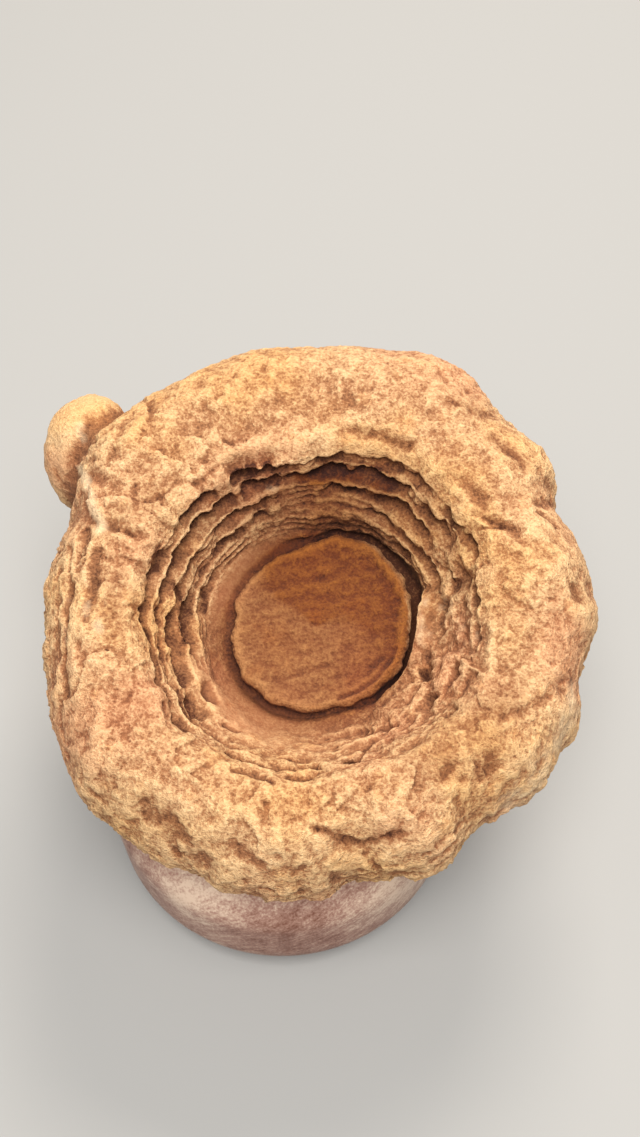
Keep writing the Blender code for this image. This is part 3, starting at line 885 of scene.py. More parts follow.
def add_node(
    tree: bpy.types.NodeTree, kind: str, inputs: dict | None = None,
    stops: tuple[tuple[float, str], ...] = (), **settings: object,
) -> bpy.types.Node:
    """Adds a node with its settings and links.

    Args:
        tree: The material's node tree.
        kind: The node's type.
        inputs: Input name or number to a value, or to the output socket that it is linked from.
        stops: Where the node has a colour ramp, each stop's place from 0 to 1 and its hex colour.
        settings: The node's own properties.

    Returns:
        The new node.
    """
    node = tree.nodes.new(kind)
    for name, value in settings.items():
        setattr(node, name, value)
    if stops:
        elements = node.color_ramp.elements
        for _ in stops[len(elements) :]:
            elements.new(0.5)
        for element, (place, code) in zip(elements, stops):
            element.position, element.color = place, to_linear(code)
    for name, value in (inputs or {}).items():
        if isinstance(value, bpy.types.NodeSocket):
            tree.links.new(value, node.inputs[name])
        else:
            node.inputs[name].default_value = value
    return node


@dataclass(frozen=True)
class WeatheredCrust:
    """Iron-stained carbonate stone, weathered.

    To the eye it is matt grit, sand-coloured where it stands proud and open, and rust-brown to dark brown in
    the clefts and hollows: partly the stone's own iron colour, partly painted shade where it is shut in or
    sunk.
    Most of the real grit is too fine to show, so it is drawn as coarse as it needs to be.
    """

    # cleft and shade are the dark end of the ramp: painted shade in clefts and hollows, with the stone's own
    # brown.
    cleft: str = "#4C260F"
    shade: str = "#92613C"
    ochre: str = "#D0A878"
    proud: str = "#E9CAA0"
    yellow: str = "#FDF5E2"
    pink: str = "#FBEBEC"
    rust: str = "#F6EADE"
    # Brown tint of the bowl: partly iron staining, partly painted shade on the far wall, in the moat and in
    # recesses.
    stain_and_shade_tint: str = "#A47942"
    lime: str = "#DBC29B"
    roughness: float = 0.9
    grit_mm: float = 0.55
    crumb_mm: float = 1.15
    mottle_mm: float = 5.0
    patch_mm: float = 26.0


@dataclass(frozen=True)
class GroundFoot:
    """The same stone, cut and ground with fine grit.

    To the eye it is a satin skin that shows the stone's mauve-brown bands and cream veins.
    """

    brown: str = "#6B4131"
    mauve: str = "#957161"
    cream: str = "#C5AB94"
    roughness: float = 0.45
    streak_mm: float = 1.1
    streak_length: float = 6.0
    slant: float = math.radians(-34)


@dataclass
class StoneFinish:
    """One material for the whole stone, in which the crust's finish runs into that of the ground foot."""

    crust: WeatheredCrust = WeatheredCrust()
    foot: GroundFoot = GroundFoot()
    refraction: float = 1.5
    gloss: float = 0.35
    bump_mm: float = 1.0

    def material(self) -> bpy.types.Material:
        """Builds the material.

        Returns:
            A material that reads the mesh's own sky, pit, deep, ground, pale, cream and calm values.
        """
        material = bpy.data.materials.new("weathered_ochre_stone")
        material.use_nodes = True
        tree = material.node_tree
        shader = tree.nodes["Principled BSDF"]
        values = self.read_values(tree)
        self.add_up(tree, values)
        stops = ((0.3, self.foot.brown), (0.5, self.foot.mauve), (0.72, self.foot.cream))
        foot = add_node(tree, "ShaderNodeValToRGB", {"Fac": values["foot_height"]}, stops).outputs["Color"]
        both = {0: values["ground"], 6: self.crust_colour(tree, values), 7: foot}
        base = add_node(tree, "ShaderNodeMix", both, data_type="RGBA").outputs[2]
        tree.links.new(base, shader.inputs["Base Color"])
        shader.inputs["IOR"].default_value = self.refraction
        shader.inputs["Specular IOR Level"].default_value = self.gloss
        spans = {"rough": (self.crust.roughness, self.foot.roughness), "relief": (1.0, 0.05)}
        for name, (low, high) in spans.items():
            span = {"Value": values["ground"], "To Min": low, "To Max": high}
            values[name] = add_node(tree, "ShaderNodeMapRange", span).outputs[0]
        tree.links.new(values["rough"], shader.inputs["Roughness"])
        height, strength = values["bump_height"], values["relief"]
        settings = {"Height": height, "Strength": strength, "Distance": self.bump_mm * MM}
        bump = add_node(tree, "ShaderNodeBump", settings)
        tree.links.new(bump.outputs["Normal"], shader.inputs["Normal"])
        return material

    def read_values(self, tree: bpy.types.NodeTree) -> dict[str, bpy.types.NodeSocket]:
        """Reads the mesh's own values and adds the noises, each with its swells a real distance apart.

        Args:
            tree: The material's node tree.

        Returns:
            The values by name.
        """
        crust, foot = self.crust, self.foot
        place = add_node(tree, "ShaderNodeTexCoord").outputs["Object"]
        stretch = (foot.streak_length, 3.0, 1.0)
        slanting = {"Vector": place, "Rotation": (0.0, foot.slant, 0.0), "Scale": stretch}
        slant = add_node(tree, "ShaderNodeMapping", slanting, vector_type="TEXTURE").outputs[0]
        values = {
            name: add_node(tree, "ShaderNodeAttribute", attribute_name=name).outputs["Fac"]
            for name in ("sky", "pit", "deep", "ground", "pale", "cream", "calm")
        }
        noises = (
            ("grit", place, crust.grit_mm, 2.0, 0.6), ("crumb", place, crust.crumb_mm, 4.0, 0.7),
            ("mottle", place, crust.mottle_mm, 3.0, 0.6),
            ("patch", place, crust.patch_mm, 2.0, 0.5), ("streak", slant, foot.streak_mm, 4.0, 0.7),
        )
        for name, where, size, detail, rough in noises:
            settings = {"Vector": where, "Scale": 1 / (size * MM), "Detail": detail, "Roughness": rough}
            values[name] = add_node(tree, "ShaderNodeTexNoise", settings).outputs["Fac"]
        fading = {"Value": values["calm"], "To Min": 1.0, "To Max": 0.35}
        coarse = add_node(tree, "ShaderNodeMapRange", fading).outputs[0]
        for name in ("grit", "crumb"):
            inputs = {0: values[name], 1: 0.5}
            centred = add_node(tree, "ShaderNodeMath", inputs, operation="SUBTRACT").outputs[0]
            inputs = {0: centred, 1: coarse}
            values[name] = add_node(tree, "ShaderNodeMath", inputs, operation="MULTIPLY").outputs[0]
        return values

    def add_up(self, tree: bpy.types.NodeTree, values: dict[str, bpy.types.NodeSocket]) -> None:
        """Adds the sums that the colours and the bump are read from, each value times its own weight.

        Args:
            tree: The material's node tree.
            values: The values by name, to which the sums are added.
        """
        sums = {
            # crust_height paints shade: low sky, sunk pits and the low parts of the crumbs and grit darken
            # the crust colour.
            "crust_height": (0.05, {"sky": 0.28, "pit": 0.17, "crumb": 0.55, "grit": 0.55, "mottle": 0.09}),
            "foot_height": (-0.02, {"streak": 0.55, "mottle": 0.45, "grit": 0.5, "cream": 0.2}),
            "bump_height": (0.0, {"crumb": 0.8, "grit": 0.5}),
        }
        for name, (start, parts) in sums.items():
            total: object = start
            for part, weight in parts.items():
                inputs = {0: values[part], 1: weight, 2: total}
                total = add_node(tree, "ShaderNodeMath", inputs, operation="MULTIPLY_ADD").outputs[0]
            values[name] = total

    def crust_colour(
        self, tree: bpy.types.NodeTree, values: dict[str, bpy.types.NodeSocket]
    ) -> bpy.types.NodeSocket:
        """Colour of the crust, from how open, proud or sunk each spot is, shut-in and sunk spots darker as
        painted shade, with the bowl's brown of iron staining and painted shade, and lime, over it.

        Args:
            tree: The material's node tree.
            values: The values by name.

        Returns:
            The colour.
        """
        crust = self.crust
        stops = ((0.02, crust.cleft), (0.3, crust.shade), (0.58, crust.ochre), (0.92, crust.proud))
        tone = add_node(tree, "ShaderNodeValToRGB", {"Fac": values["crust_height"]}, stops).outputs["Color"]
        # The deep layer browns the bowl with iron staining and painted shade.
        layers = (
            ("patch", 0.5, 0.66, crust.pink, "MULTIPLY"), ("patch", 0.48, 0.34, crust.yellow, "MULTIPLY"),
            ("mottle", 0.56, 0.7, crust.rust, "MULTIPLY"), ("deep", 0.0, 1.0, crust.stain_and_shade_tint, "MULTIPLY"),
            ("pale", 0.0, 1.0, crust.lime, "MIX"),
        )
        for name, low, high, colour, blend in layers:
            span = {"Value": values[name], "From Min": low, "From Max": high}
            share = add_node(tree, "ShaderNodeMapRange", span).outputs[0]
            inputs = {0: share, 6: tone, 7: to_linear(colour)}
            tone = add_node(tree, "ShaderNodeMix", inputs, data_type="RGBA", blend_type=blend).outputs[2]
        return tone


@dataclass(frozen=True)
class Skin:
    """The layout of the skin's points, ring after ring from the bowl's middle to that of the flat spot."""

    zones: np.ndarray
    degrees: np.ndarray
    turns: int
    blur_steps: int = 4

    @property
    def grid(self) -> tuple[int, int]:
        """How many rings there are, and how many points a ring has."""
        return len(self.zones) // self.turns, self.turns

    @property
    def row(self) -> np.ndarray:
        """The ring that each point is on."""
        return np.arange(len(self.zones)) // self.turns

    @property
    def ground(self) -> np.ndarray:
        """1 on the ground foot, 0 on the crust and in the bowl."""
        edge = self.first_ring(Zone.FOOT)
        return smooth_step(self.row, edge - 1, edge + 1)

    def first_ring(self, zone: Zone) -> int:
        """Number of the first ring of a zone."""
        return int(np.flatnonzero(self.zones == zone.value)[0]) // self.turns

    def outward(self, points: np.ndarray) -> np.ndarray:
        """Finds which way the skin faces at each point.

        Args:
            points: The skin's points by (x, y, z).

        Returns:
            The outward directions, each with a length of 1.
        """
        grid = points.reshape(*self.grid, 3)
        across = np.roll(grid, -1, axis=1) - np.roll(grid, 1, axis=1)
        down = np.gradient(grid, axis=0)
        normal = np.cross(down, across)
        size = np.linalg.norm(normal, axis=2, keepdims=True)
        normal = np.where(size > 1e-9, normal / np.maximum(size, 1e-9), 0)
        normal[0], normal[-1] = (0, 0, 1), (0, 0, -1)
        return normal.reshape(-1, 3)

    def blurred(self, values: np.ndarray) -> np.ndarray:
        """Averages the values over the rings and turns near each point.

        Args:
            values: One value for each point.

        Returns:
            The averages.
        """
        width = self.blur_steps
        grid = values.reshape(self.grid)
        for _ in range(2):
            grid = sum(np.roll(grid, i, axis=1) for i in range(-width, width + 1)) / (2 * width + 1)
            padded = np.pad(grid, ((width, width), (0, 0)), mode="edge")
            grid = sum(padded[i : i + len(grid)] for i in range(2 * width + 1)) / (2 * width + 1)
        return grid.ravel()

    def mesh(self, points: np.ndarray) -> bpy.types.Mesh:
        """Joins the rings into a closed skin of quads.

        Args:
            points: The skin's points by (x, y, z).

        Returns:
            The mesh, still in millimetres.
        """
        index = np.arange(len(self.zones)).reshape(self.grid)
        nearby = np.roll(index, -1, axis=1)
        quads = np.stack([index[:-1], index[1:], nearby[1:], nearby[:-1]], axis=2)[1:-1].reshape(-1, 4)
        first = np.stack([np.zeros(self.turns, int), index[1], nearby[1]], axis=1)
        final = np.stack([index[-2], np.full(self.turns, index[-1, 0]), nearby[-2]], axis=1)
        mesh = bpy.data.meshes.new("stone")
        mesh.from_pydata(points.tolist(), [], quads.tolist() + first.tolist() + final.tolist())
        return mesh


@dataclass(frozen=True)
class Spot:
    """A patch of staining, painted shade or lime on the upright stone, round or drawn out along a line."""

    start: tuple[float, float, float]
    end: tuple[float, float, float]
    width: float
    share: float

    def strength(self, points: np.ndarray) -> np.ndarray:
        """How strong the patch is at each point: its share on its line, fading away from it."""
        return self.share * hump(from_line(points, self.start, self.end), self.width)


@dataclass
class Stromatolite:
    """The whole stone: bowl, crust, side lobe and foot in one skin."""

    bowl: Bowl = field(default_factory=Bowl)
    crust: Crust = field(default_factory=Crust)
    foot: Foot = field(default_factory=Foot)
    lobe: SideLobe = field(default_factory=SideLobe)
    lean: Lean = field(default_factory=Lean)
    noise: StoneNoise = field(default_factory=StoneNoise)
    finish: StoneFinish = field(default_factory=StoneFinish)
    turns: int = 880
    button_rows: int = 46
    moat_rows: int = 34
    ledge_rows: int = 16
    lip_rows: int = 66
    wall_rows: int = 76
    foot_rows: int = 52
    triangles: int = 190_000
    weld_mm: float = 0.002
    rays: int = 20
    ray_seed: int = 5
    ray_lift_mm: float = 0.05
    ray_spread: float = 1.05
    reach_mm: float = 9.0
    pit_depth: float = 0.4
    cleft_bend: Swell = Swell(1.2, 5, 2, 3.9)
    cleft_wander: Swell = Swell(0.3, 3.4, 3, 8.1)
    lime_edge: Swell = Swell(0.4, 2.2, 3, 1.0)
    stain_and_shade_patch: Swell = Swell(1.5, 2.6, 3, 6.1)
    stain_and_shade_bend: Swell = Swell(1.2, 5, 3, 3.6)
    lime: tuple[Spot, ...] = (
        Spot((-52.6, 43, 69.6), (-51.8, 41, 68.4), 2.2, 0.5),
        Spot((-51.4, 34.5, 67.3), (-49, 26.5, 75.2), 1.7, 0.85),
        Spot((-49, 26.5, 75.2), (-44.8, 15.8, 77.2), 1.6, 0.8),
        Spot((-46.6, 9, 77.6), (-46, -4, 78), 1.8, 0.3), Spot((-44, 1, 79), (-42.9, -8, 79.8), 2.4, 0.35),
        Spot((-51, 6, 74), (-50.6, -14, 75), 0.9, 0.35), Spot((-8, 28.2, 70), (-10.5, 27.6, 70), 1.1, 0.2),
        Spot((52, -20, 70), (40, -40, 68), 7, 0.5), Spot((22.6, 4, 64), (22.6, -6, 64), 2.0, 0.45),
        Spot((27, 4, 66), (32, -8, 73), 5, 0.25), Spot((2, -50, 71), (8, -52, 69), 1.0, 0.4),
    )
    # Brown patches: iron staining, and painted shade in the bowl's recesses, on its left wall and in hollows.
    stains_and_shades: tuple[Spot, ...] = (
        Spot((24.4, -36.6, 79), (26, -35.4, 79), 2, 0.4),
        Spot((31.6, -35, 77.5), (33, -33, 77.5), 2.4, 0.4), Spot((35, -40.4, 72), (37, -39, 72), 2, 0.4),
        Spot((-8, 10, 61), (12, 6, 61), 2.6, 0.3), Spot((2, 13, 61), (15, 5, 61), 5, 0.3),
        Spot((-9, 34, 77), (-18, 31.2, 77), 2.1, 0.4),
        Spot((-32.6, -41.6, 76), (-26.6, -47, 73), 3.6, 0.18), Spot((28, 28, 79), (34, 21, 79), 2.6, 0.18),
        Spot((18, 35, 79), (8, 38.5, 79), 2.2, 0.4), Spot((-33, 22, 79), (-37, 20, 79), 4, 0.2),
        Spot((-15, -36, 78), (-9, -38, 77.5), 1.2, 0.35), Spot((2, -48, 76), (14, -48, 75), 2.2, 0.2),
        Spot((38, 37, 77.5), (44.4, 30.6, 76.8), 1.4, 0.5),
        Spot((28.4, 45.4, 77), (36.2, 43.6, 74.6), 1.0, 0.35),
        Spot((52.6, 2.2, 75), (53.8, 0.6, 74.6), 1.3, 0.5),
        Spot((-46, 17.2, 76), (-34, 12.4, 77), 1.8, 0.2), Spot((15, 28.5, 70.5), (8, 31, 70.5), 1.4, 0.6),
        Spot((8, 31, 70.5), (-3, 31.5, 70.5), 1.5, 0.7),
        Spot((-16.5, 26.5, 71), (-26.5, 16.5, 71), 1.2, 0.65),
        Spot((-26.5, 15.5, 71), (-30.4, 4.4, 71), 1.3, 0.45),
        Spot((-34, 7.2, 75.5), (-35, -6, 75.5), 1.0, 0.7),
        Spot((-18.3, 30.4, 74.4), (-28.8, 21.4, 74.4), 1.3, 0.9),
        Spot((-31.4, -19, 76), (-29, -23, 75), 1.2, 0.5), Spot((36, -22, 79), (24, -34, 79), 6, 0.3),
        Spot((-24, -48, 72), (-20, -53, 69), 2.4, 0.2), Spot((-41, 4, 79), (-40, -6, 79), 4, 0.2),
    )
    # Painted shade: spots that darken the recesses of the far and left walls.
    shades: tuple[Spot, ...] = (
        Spot((16, 29.2, 70.6), (6, 32.2, 70.2), 2.2, 1.0),
        Spot((6, 32.2, 70.2), (-3, 32.6, 70.4), 1.9, 0.8),
        Spot((-18.3, 30.4, 74.4), (-28.8, 21.4, 74.4), 1.4, 0.9),
    )
    dents: tuple[Spot, ...] = (
        Spot((-50.4, 45, 70), (-53.4, 36, 67.6), 1.3, -0.8),
        Spot((-57, 41, 66), (-58.6, 34, 62), 1.6, -0.8),
    )
    cream: tuple[Spot, ...] = (
        Spot((-20, -34, 27), (-14, -37, 32), 8, 1.0), Spot((21, -33, 28), (32, -23, 18), 9, 1.0),
        Spot((0, -39, 20), (6, -39, 10), 9, -0.45),
    )

    def build(self) -> bpy.types.Object:
        """Builds the stone's mesh and dresses it.

        Returns:
            The stone's object, in the row frame.
        """
        upright, skin = self.upright_skin()
        points, pit = self.carve(upright, skin)
        mesh = skin.mesh(points)
        for name, value in self.finish_values(points, pit, skin.ground).items():
            mesh.attributes.new(name, "FLOAT", "POINT").data.foreach_set("value", value.astype(np.float32))
        leaned = self.lean.apply(points, points[:, 2].copy())
        leaned[:, 2] = np.maximum(leaned[:, 2], 0.0)
        mesh.vertices.foreach_set("co", (leaned * MM).ravel())
        mesh.update()
        stone = bpy.data.objects.new("stone", mesh)
        bpy.context.scene.collection.objects.link(stone)
        self.thin_out(stone)
        self.measure_sky(stone.data)
        stone.data.materials.append(self.finish.material())
        stone.data.shade_smooth()
        return stone

    def finish_values(self, points: np.ndarray, pit: np.ndarray, ground: np.ndarray) -> dict[str, np.ndarray]:
        """Works out the values that the material reads, apart from the sky.

        Args:
            points: Points of the upright stone by (x, y, z).
            pit: How proud or sunk each point is.
            ground: 1 where the stone is ground.

        Returns:
            The values by name.
        """
        ragged = self.noise.layers(points * (1, 0.5, 1.3), self.lime_edge)
        lime = together([spot.strength(points) for spot in self.lime]) + ragged
        patchy = np.clip(1 + self.noise.layers(points, self.stain_and_shade_patch), 0.1, 2)
        moved = points + self.noise.layers(points, self.stain_and_shade_bend)[:, None]
        stains_and_shades = patchy * together([spot.strength(moved) for spot in self.stains_and_shades])
        # pit takes in the painted shade spots; deep is the bowl's brown, partly iron staining, partly painted
        # shade.
        return {
            "pit": pit - together([spot.strength(moved) for spot in self.shades]),
            "ground": ground,
            "pale": 0.5 * smooth_step(lime, 0.25, 0.65),
            "calm": self.calm(points),
            "deep": np.clip(self.bowl_stain_and_shade(points) + stains_and_shades, 0, 1),
            "cream": sum(spot.strength(points) for spot in self.cream),
        }

    def upright_skin(self) -> tuple[np.ndarray, Skin]:
        """Lays out the plain skin before the lean.

        Returns:
            Points by (x, y, z), and how they are laid out.
        """
        degrees = np.linspace(0, 360, self.turns, endpoint=False)
        ledges = self.bowl.ledge_rings(degrees, self.ledge_rows, self.noise)
        button = self.bowl.button_edge(degrees, self.noise)
        crust_edge = around(self.crust.edge_line, degrees)
        bands = (
            (Zone.BUTTON, self.bowl.button_top(degrees, button, self.button_rows)),
            (Zone.MOAT, self.bowl.moat_rings(degrees, button, self.moat_rows)),
            (Zone.LEDGES, ledges[:-1]),
            (Zone.LIP, self.crust.lip_rings(degrees, ledges[-1, 0], ledges[-1, 1], self.lip_rows)),
            (Zone.WALL, self.crust.wall_rings(degrees, self.wall_rows)),
            (Zone.FOOT, self.foot.rings(degrees, crust_edge, self.foot_rows)),
        )
        rings = np.concatenate([band for _, band in bands])
        zones = np.concatenate([np.full(len(band) * self.turns, zone.value) for zone, band in bands])
        turn = np.radians(degrees)
        points = np.stack([rings[:, 0] * np.cos(turn), rings[:, 0] * np.sin(turn), rings[:, 1]], axis=2)
        return points.reshape(-1, 3), Skin(zones, np.tile(degrees, len(rings)), self.turns)

    def carve(self, upright: np.ndarray, skin: Skin) -> tuple[np.ndarray, np.ndarray]:
        """Adds the lumps, the side lobe and the small relief.

        Args:
            upright: The plain skin by (x, y, z).
            skin: How the points are laid out.

        Returns:
            The carved points, and how proud or sunk each is from -1 to 1.
        """
        points = self.large_forms(upright, skin)
        direction = skin.outward(points)
        rough = self.fine_relief(points, upright, skin)
        points = points + direction * (rough * (1 - skin.ground))[:, None]
        around_it = np.stack([skin.blurred(points[:, axis]) for axis in range(3)], axis=1)
        pit = np.clip(np.einsum("ij,ij->i", points - around_it, direction) / self.pit_depth, -1, 1)
        return points, pit

    def large_forms(self, upright: np.ndarray, skin: Skin) -> np.ndarray:
        """Adds the marks and lumps, the wave of the crust's lower edge, the side lobe and the dents by it.

        Args:
            upright: The plain skin by (x, y, z).
            skin: How the points are laid out.

        Returns:
            The moved points.
        """
        row, rim, edge = skin.row, skin.first_ring(Zone.LIP), skin.first_ring(Zone.FOOT)
        on_crust = smooth_step(row, rim - 2, rim + 18) * (1 - smooth_step(row, edge - 8, edge))
        large = self.crust.large_relief(upright, skin.degrees, self.noise) * on_crust
        points = upright + skin.outward(upright) * large[:, None]
        wave = self.noise.waves(circle_points(skin.degrees), self.crust.edge_waves)
        wave *= self.crust.edge_wave
        points[:, 2] += wave * smooth_step(row, edge - 30, edge) * (1 - smooth_step(row, edge + 2, edge + 22))
        points = self.lobe.bud(points)
        dents = sum(dent.strength(points) for dent in self.dents)
        return points + skin.outward(points) * dents[:, None]

    def fine_relief(self, points: np.ndarray, upright: np.ndarray, skin: Skin) -> np.ndarray:
        """Works out the chips, grains, growth lines and clefts, each zone fading into the next.

        Args:
            points: The skin with its large forms by (x, y, z).
            upright: The same points before any form was added.
            skin: How the points are laid out.

        Returns:
            Heights in millimetres along the surface's direction.
        """
        row, rim, edge = skin.row, skin.first_ring(Zone.LIP), skin.first_ring(Zone.FOOT)
        rough = np.zeros(len(points))
        crust = (row >= rim - 6) & (row < edge + 1)
        rough[crust] = self.crust.small_relief(points[crust], skin.degrees[crust], self.noise)
        fade = smooth_step(row, rim - 6, rim + 4)
        near_edge = smooth_step(row, edge - 16, edge - 2)
        rough *= fade * (1 - 0.6 * near_edge) * (1 - 0.4 * self.lobe.cover(points, 1.05, 1.25))
        bowl = row < rim
        rough[bowl] += (1 - fade[bowl]) * self.bowl_relief(points[bowl], skin.zones[bowl], row[bowl])
        inner = row < rim + 44
        angle = skin.degrees[inner] + self.noise.layers(upright[inner], self.cleft_bend)
        radius = np.hypot(upright[inner, 0], upright[inner, 1])
        radius = radius + self.noise.layers(upright[inner], self.cleft_wander)
        rough[inner] += together([cleft.relief(angle, radius) for cleft in self.bowl.clefts])
        return rough

    def bowl_relief(self, points: np.ndarray, zones: np.ndarray, row: np.ndarray) -> np.ndarray:
        """Grain of the bowl: laid lines across the button, thin growth lines between the ledges, and crumbs.

        Args:
            points: Points of the bowl by (x, y, z).
            zones: The zone of each point.
            row: The ring that each point is on.

        Returns:
            Heights in millimetres along the surface's direction.
        """
        noise, bowl = self.noise, self.bowl
        across = points @ np.array((-math.sin(bowl.laid_tilt), math.cos(bowl.laid_tilt), 0.35))
        across = across + noise.layers(points, bowl.laid_bend)
        along = points @ np.array((math.cos(bowl.laid_tilt), math.sin(bowl.laid_tilt), 0.0))
        lines = noise.layers(np.stack([along * 0.2, across, points[:, 2] * 0.4], axis=1), bowl.laid)
        crumbs = noise.layers(points, *bowl.crumbs)
        lined = around(bowl.growth, np.mod(points_degrees(points), 360))
        radius = np.hypot(points[:, 0], points[:, 1])
        right = smooth_step(points[:, 0] + points[:, 1], 4, 18) * smooth_step(radius, 13, 17)
        button = lines + (0.6 + 0.5 * right) * crumbs
        first = row[zones == Zone.LEDGES.value].min()
        phase = (row - first) / self.ledge_rows * bowl.growth_lines + noise.layers(points, bowl.growth_bend)
        growth = (1 - np.abs(2 * (phase - np.floor(phase)) - 1)) ** 0.7 - 0.5
        patchy = smooth_step(noise.layers(points, bowl.growth_patch), -0.4, 0.35)
        rubble = (1.5 - lined) * noise.layers(points, bowl.rubble)
        wall = (growth * patchy * lined + rubble) * (zones == Zone.LEDGES.value) + 0.75 * crumbs
        wall *= 1 - 0.8 * self.calm(points)
        on_button = smooth_step(-radius, -20, -18.6)
        return on_button * button + (1 - on_button) * wall

    def calm(self, points: np.ndarray) -> np.ndarray:
        """How smooth the stone is, most in the trough at the near left, on the knob and on the side lobe.

        Args:
            points: Points of the upright stone by (x, y, z).

        Returns:
            Values from 0, rough, to 1, smooth.
        """
        radius = np.hypot(points[:, 0], points[:, 1])
        angle = np.mod(points_degrees(points), 360)
        near = hump(angle - 236, 40) * smooth_step(-radius, -33, -27)
        far = hump(angle - 145, 45) * smooth_step(-radius, -24.5, -22)
        smoothest = np.maximum(np.maximum(near, far), 0.45 * self.knob(points))
        ring = smooth_step(radius, self.bowl.calm_radius, 20) * smoothest * (radius < 36)
        button = 0.35 * (radius < self.bowl.calm_radius)
        return np.maximum(np.maximum(ring, button), 0.25 * self.lobe.cover(points, 1.1, 1.3))

    def knob(self, points: np.ndarray) -> np.ndarray:
        """1 on the bright knob at the right of the moat, 0 away from it."""
        aside = np.mod(points_degrees(points) + 180, 360) - 182
        return hump(aside, 15) * smooth_step(-np.hypot(points[:, 0], points[:, 1]), -28, -24)

    def bowl_stain_and_shade(self, points: np.ndarray) -> np.ndarray:
        """How brown the bowl is, most on the button and in the moat, least on the near wall, and strongly on
        the far
        wall: partly iron staining, partly painted shade.

        Args:
            points: Points of the upright stone by (x, y, z).

        Returns:
            Values from 0, clean and unshaded, to 1, fully stained and shaded.
        """
        radius = np.hypot(points[:, 0], points[:, 1])
        depth = smooth_step(-points[:, 2], -(self.bowl.crest - 2), -(self.bowl.crest - 9)) * (radius < 40)
        # Painted shade on the far wall, which faces away from the light.
        far = hump(apart(points_degrees(points), 85), 42)
        right, back = np.maximum(points[:, 0], 0), np.maximum(points[:, 1], 0)
        near = smooth_step(-(0.5 * points[:, 0] + points[:, 1]) / np.maximum(radius, 1), 0.0, 0.9)
        # Button: partly staining and partly painted shade, less towards the back, which faces the light.
        button = smooth_step(-radius, -24 - 6 * near, -18.5) * (0.77 + 0.011 * right - 0.007 * back)
        # Painted shade in the moat round the button.
        moat = 0.1 * hump(radius - 20.6, 1.6)
        brown = depth * np.clip(0.02 + 0.8 * far + button + moat, 0, 1)
        return brown * (1 - self.knob(points) * (radius > 20))

    def thin_out(self, stone: bpy.types.Object) -> None:
        """Joins points that meet, and collapses the skin to the stone's number of triangles.

        Args:
            stone: The stone's object, which is given a new mesh.
        """
        weld = stone.modifiers.new("weld", "WELD")
        weld.merge_threshold = self.weld_mm * MM
        thin = stone.modifiers.new("thin", "DECIMATE")
        faces = len(stone.data.polygons) * 2
        thin.ratio = self.triangles / faces
        thin.use_collapse_triangulate = True
        made = bpy.data.meshes.new_from_object(stone.evaluated_get(bpy.context.evaluated_depsgraph_get()))
        stone.modifiers.clear()
        stone.data = made
        made.name = "stone"

    def measure_sky(self, mesh: bpy.types.Mesh) -> None:
        """Casts short rays from each point and keeps how many get away, as the mesh's sky value.

        Args:
            mesh: The stone's mesh. Its sky is 1 where the stone is open and 0 deep in a cleft.
        """
        count = len(mesh.vertices)
        places, normals = np.empty(count * 3), np.empty(count * 3)
        mesh.vertices.foreach_get("co", places)
        mesh.vertices.foreach_get("normal", normals)
        places, normals = places.reshape(-1, 3), normals.reshape(-1, 3)
        faces = np.empty(len(mesh.polygons) * 3, int)
        mesh.polygons.foreach_get("vertices", faces)
        tree = BVHTree.FromPolygons(places.tolist(), faces.reshape(-1, 3).tolist(), all_triangles=True)
        draw = np.random.default_rng(self.ray_seed)
        directions = draw.normal(size=(self.rays, 3))
        directions /= np.linalg.norm(directions, axis=1)[:, None]
        reach = self.reach_mm * MM
        open_share = np.zeros(count)
        starts = places + normals * self.ray_lift_mm * MM
        for direction in directions:
            heading = direction + normals * self.ray_spread
            heading /= np.linalg.norm(heading, axis=1)[:, None]
            for i in range(count):
                hit = tree.ray_cast(starts[i], heading[i], reach)[3]
                open_share[i] += 1.0 if hit is None else hit / reach * 0.5
        sky = (open_share / self.rays).astype(np.float32)
        mesh.attributes.new("sky", "FLOAT", "POINT").data.foreach_set("value", sky)


@dataclass(frozen=True)
class SoftLight:
    """A square soft light, in metres and watts."""

    name: str
    place: tuple[float, float, float]
    size: float
    watts: float
    colour: str


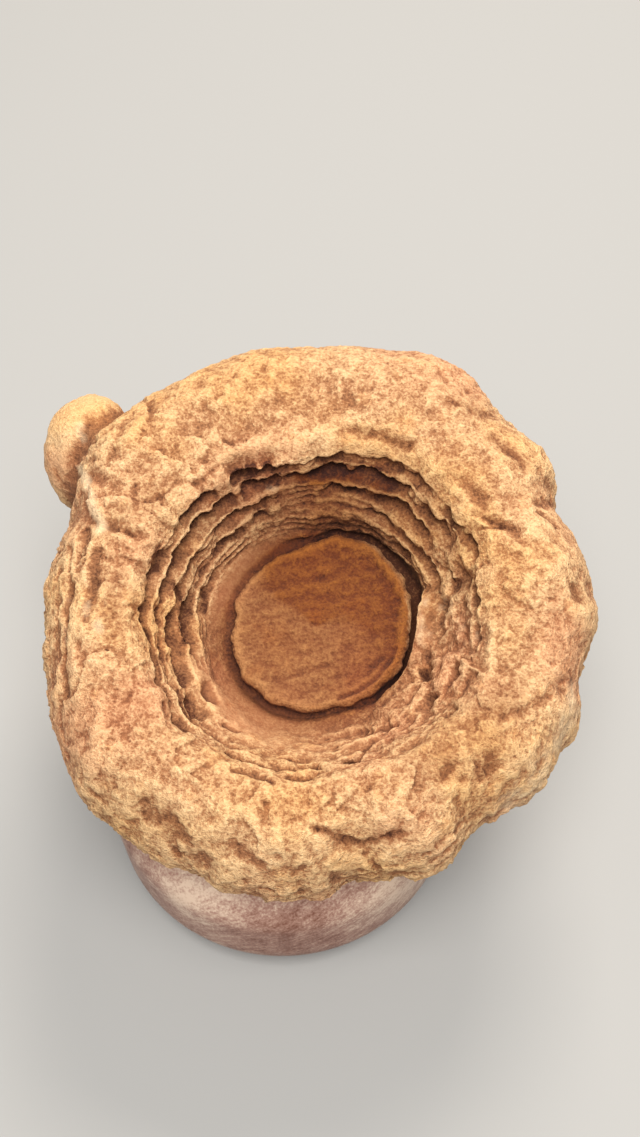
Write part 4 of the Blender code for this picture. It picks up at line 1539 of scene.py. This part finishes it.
@dataclass
class Studio:
    """The pale floor, the soft lights and the camera."""

    lights: tuple[SoftLight, ...] = (
        SoftLight("window_behind", (0.2, 0.78, 1.0), 0.5, 15.5, "#FFF8F0"),
        SoftLight("overhead", (0.02, -0.46, 1.2), 0.8, 26.5, "#FFFFFF"),
    )
    aim: tuple[float, float, float] = (0.0, 0.02, 0.05)
    room_colour: str = "#F3F4F6"
    room_strength: float = 0.55
    floor_size: float = 3.0
    floor_colour: str = "#908E8A"
    floor_roughness: float = 0.9
    camera_mm: tuple[float, float, float] = (8.5, -142.087, 279.728)
    camera_pitch: float = math.radians(38.0)
    focal_px: float = 1250.0
    frame_px: int = 1137
    sensor: float = 36.0

    def build(self) -> None:
        """Sets the floor, the lights, the surroundings and the camera."""
        self.lay_floor()
        for light in self.lights:
            self.hang_light(light)
        world = bpy.data.worlds.new("soft_room")
        world.use_nodes = True
        back = world.node_tree.nodes["Background"]
        back.inputs["Color"].default_value = to_linear(self.room_colour)
        back.inputs["Strength"].default_value = self.room_strength
        bpy.context.scene.world = world
        bpy.context.scene.view_settings.view_transform = "Standard"
        self.place_camera()

    def lay_floor(self) -> None:
        """Lays a board with matt paint, even and pale to the eye. It isn't part of the object."""
        half = self.floor_size / 2
        mesh = bpy.data.meshes.new("floor")
        corners = [(-half, -half, 0), (half, -half, 0), (half, half, 0), (-half, half, 0)]
        mesh.from_pydata(corners, [], [(0, 1, 2, 3)])
        floor = bpy.data.objects.new("floor", mesh)
        bpy.context.scene.collection.objects.link(floor)
        material = bpy.data.materials.new("matt_painted_board")
        material.use_nodes = True
        shader = material.node_tree.nodes["Principled BSDF"]
        shader.inputs["Base Color"].default_value = to_linear(self.floor_colour)
        shader.inputs["Roughness"].default_value = self.floor_roughness
        mesh.materials.append(material)

    def hang_light(self, soft: SoftLight) -> None:
        """Hangs a light, turned to the stone.

        Args:
            soft: The light.
        """
        light = bpy.data.lights.new(soft.name, "AREA")
        light.size, light.energy = soft.size, soft.watts
        light.color = to_linear(soft.colour)[:3]
        lamp = bpy.data.objects.new(soft.name, light)
        bpy.context.scene.collection.objects.link(lamp)
        lamp.location = soft.place
        towards = -(lamp.location - Vector(self.aim))
        lamp.rotation_euler = towards.to_track_quat("-Z", "Y").to_euler()

    def place_camera(self) -> None:
        """Sets the camera where the stone is looked down on from the front."""
        camera = bpy.data.cameras.new("camera")
        camera.sensor_width = self.sensor
        camera.lens = self.focal_px / self.frame_px * self.sensor
        camera.clip_start = 0.01
        seat = bpy.data.objects.new("camera", camera)
        bpy.context.scene.collection.objects.link(seat)
        seat.location = [c * MM for c in self.camera_mm]
        seat.rotation_euler = (self.camera_pitch, 0.0, 0.0)
        bpy.context.scene.camera = seat


def main() -> None:
    """Builds the stone over its CAD node and the studio round it."""
    logging.basicConfig(level=logging.INFO, format="%(message)s")
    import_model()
    stone = Stromatolite().build()
    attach(stone, "root")
    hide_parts("stromatolite")
    LOG.info("%s: %d triangles", stone.name, len(stone.data.polygons))
    Studio().build()
    LOG.info("studio: floor, lights and camera")


if __name__ == "__main__":
    main()
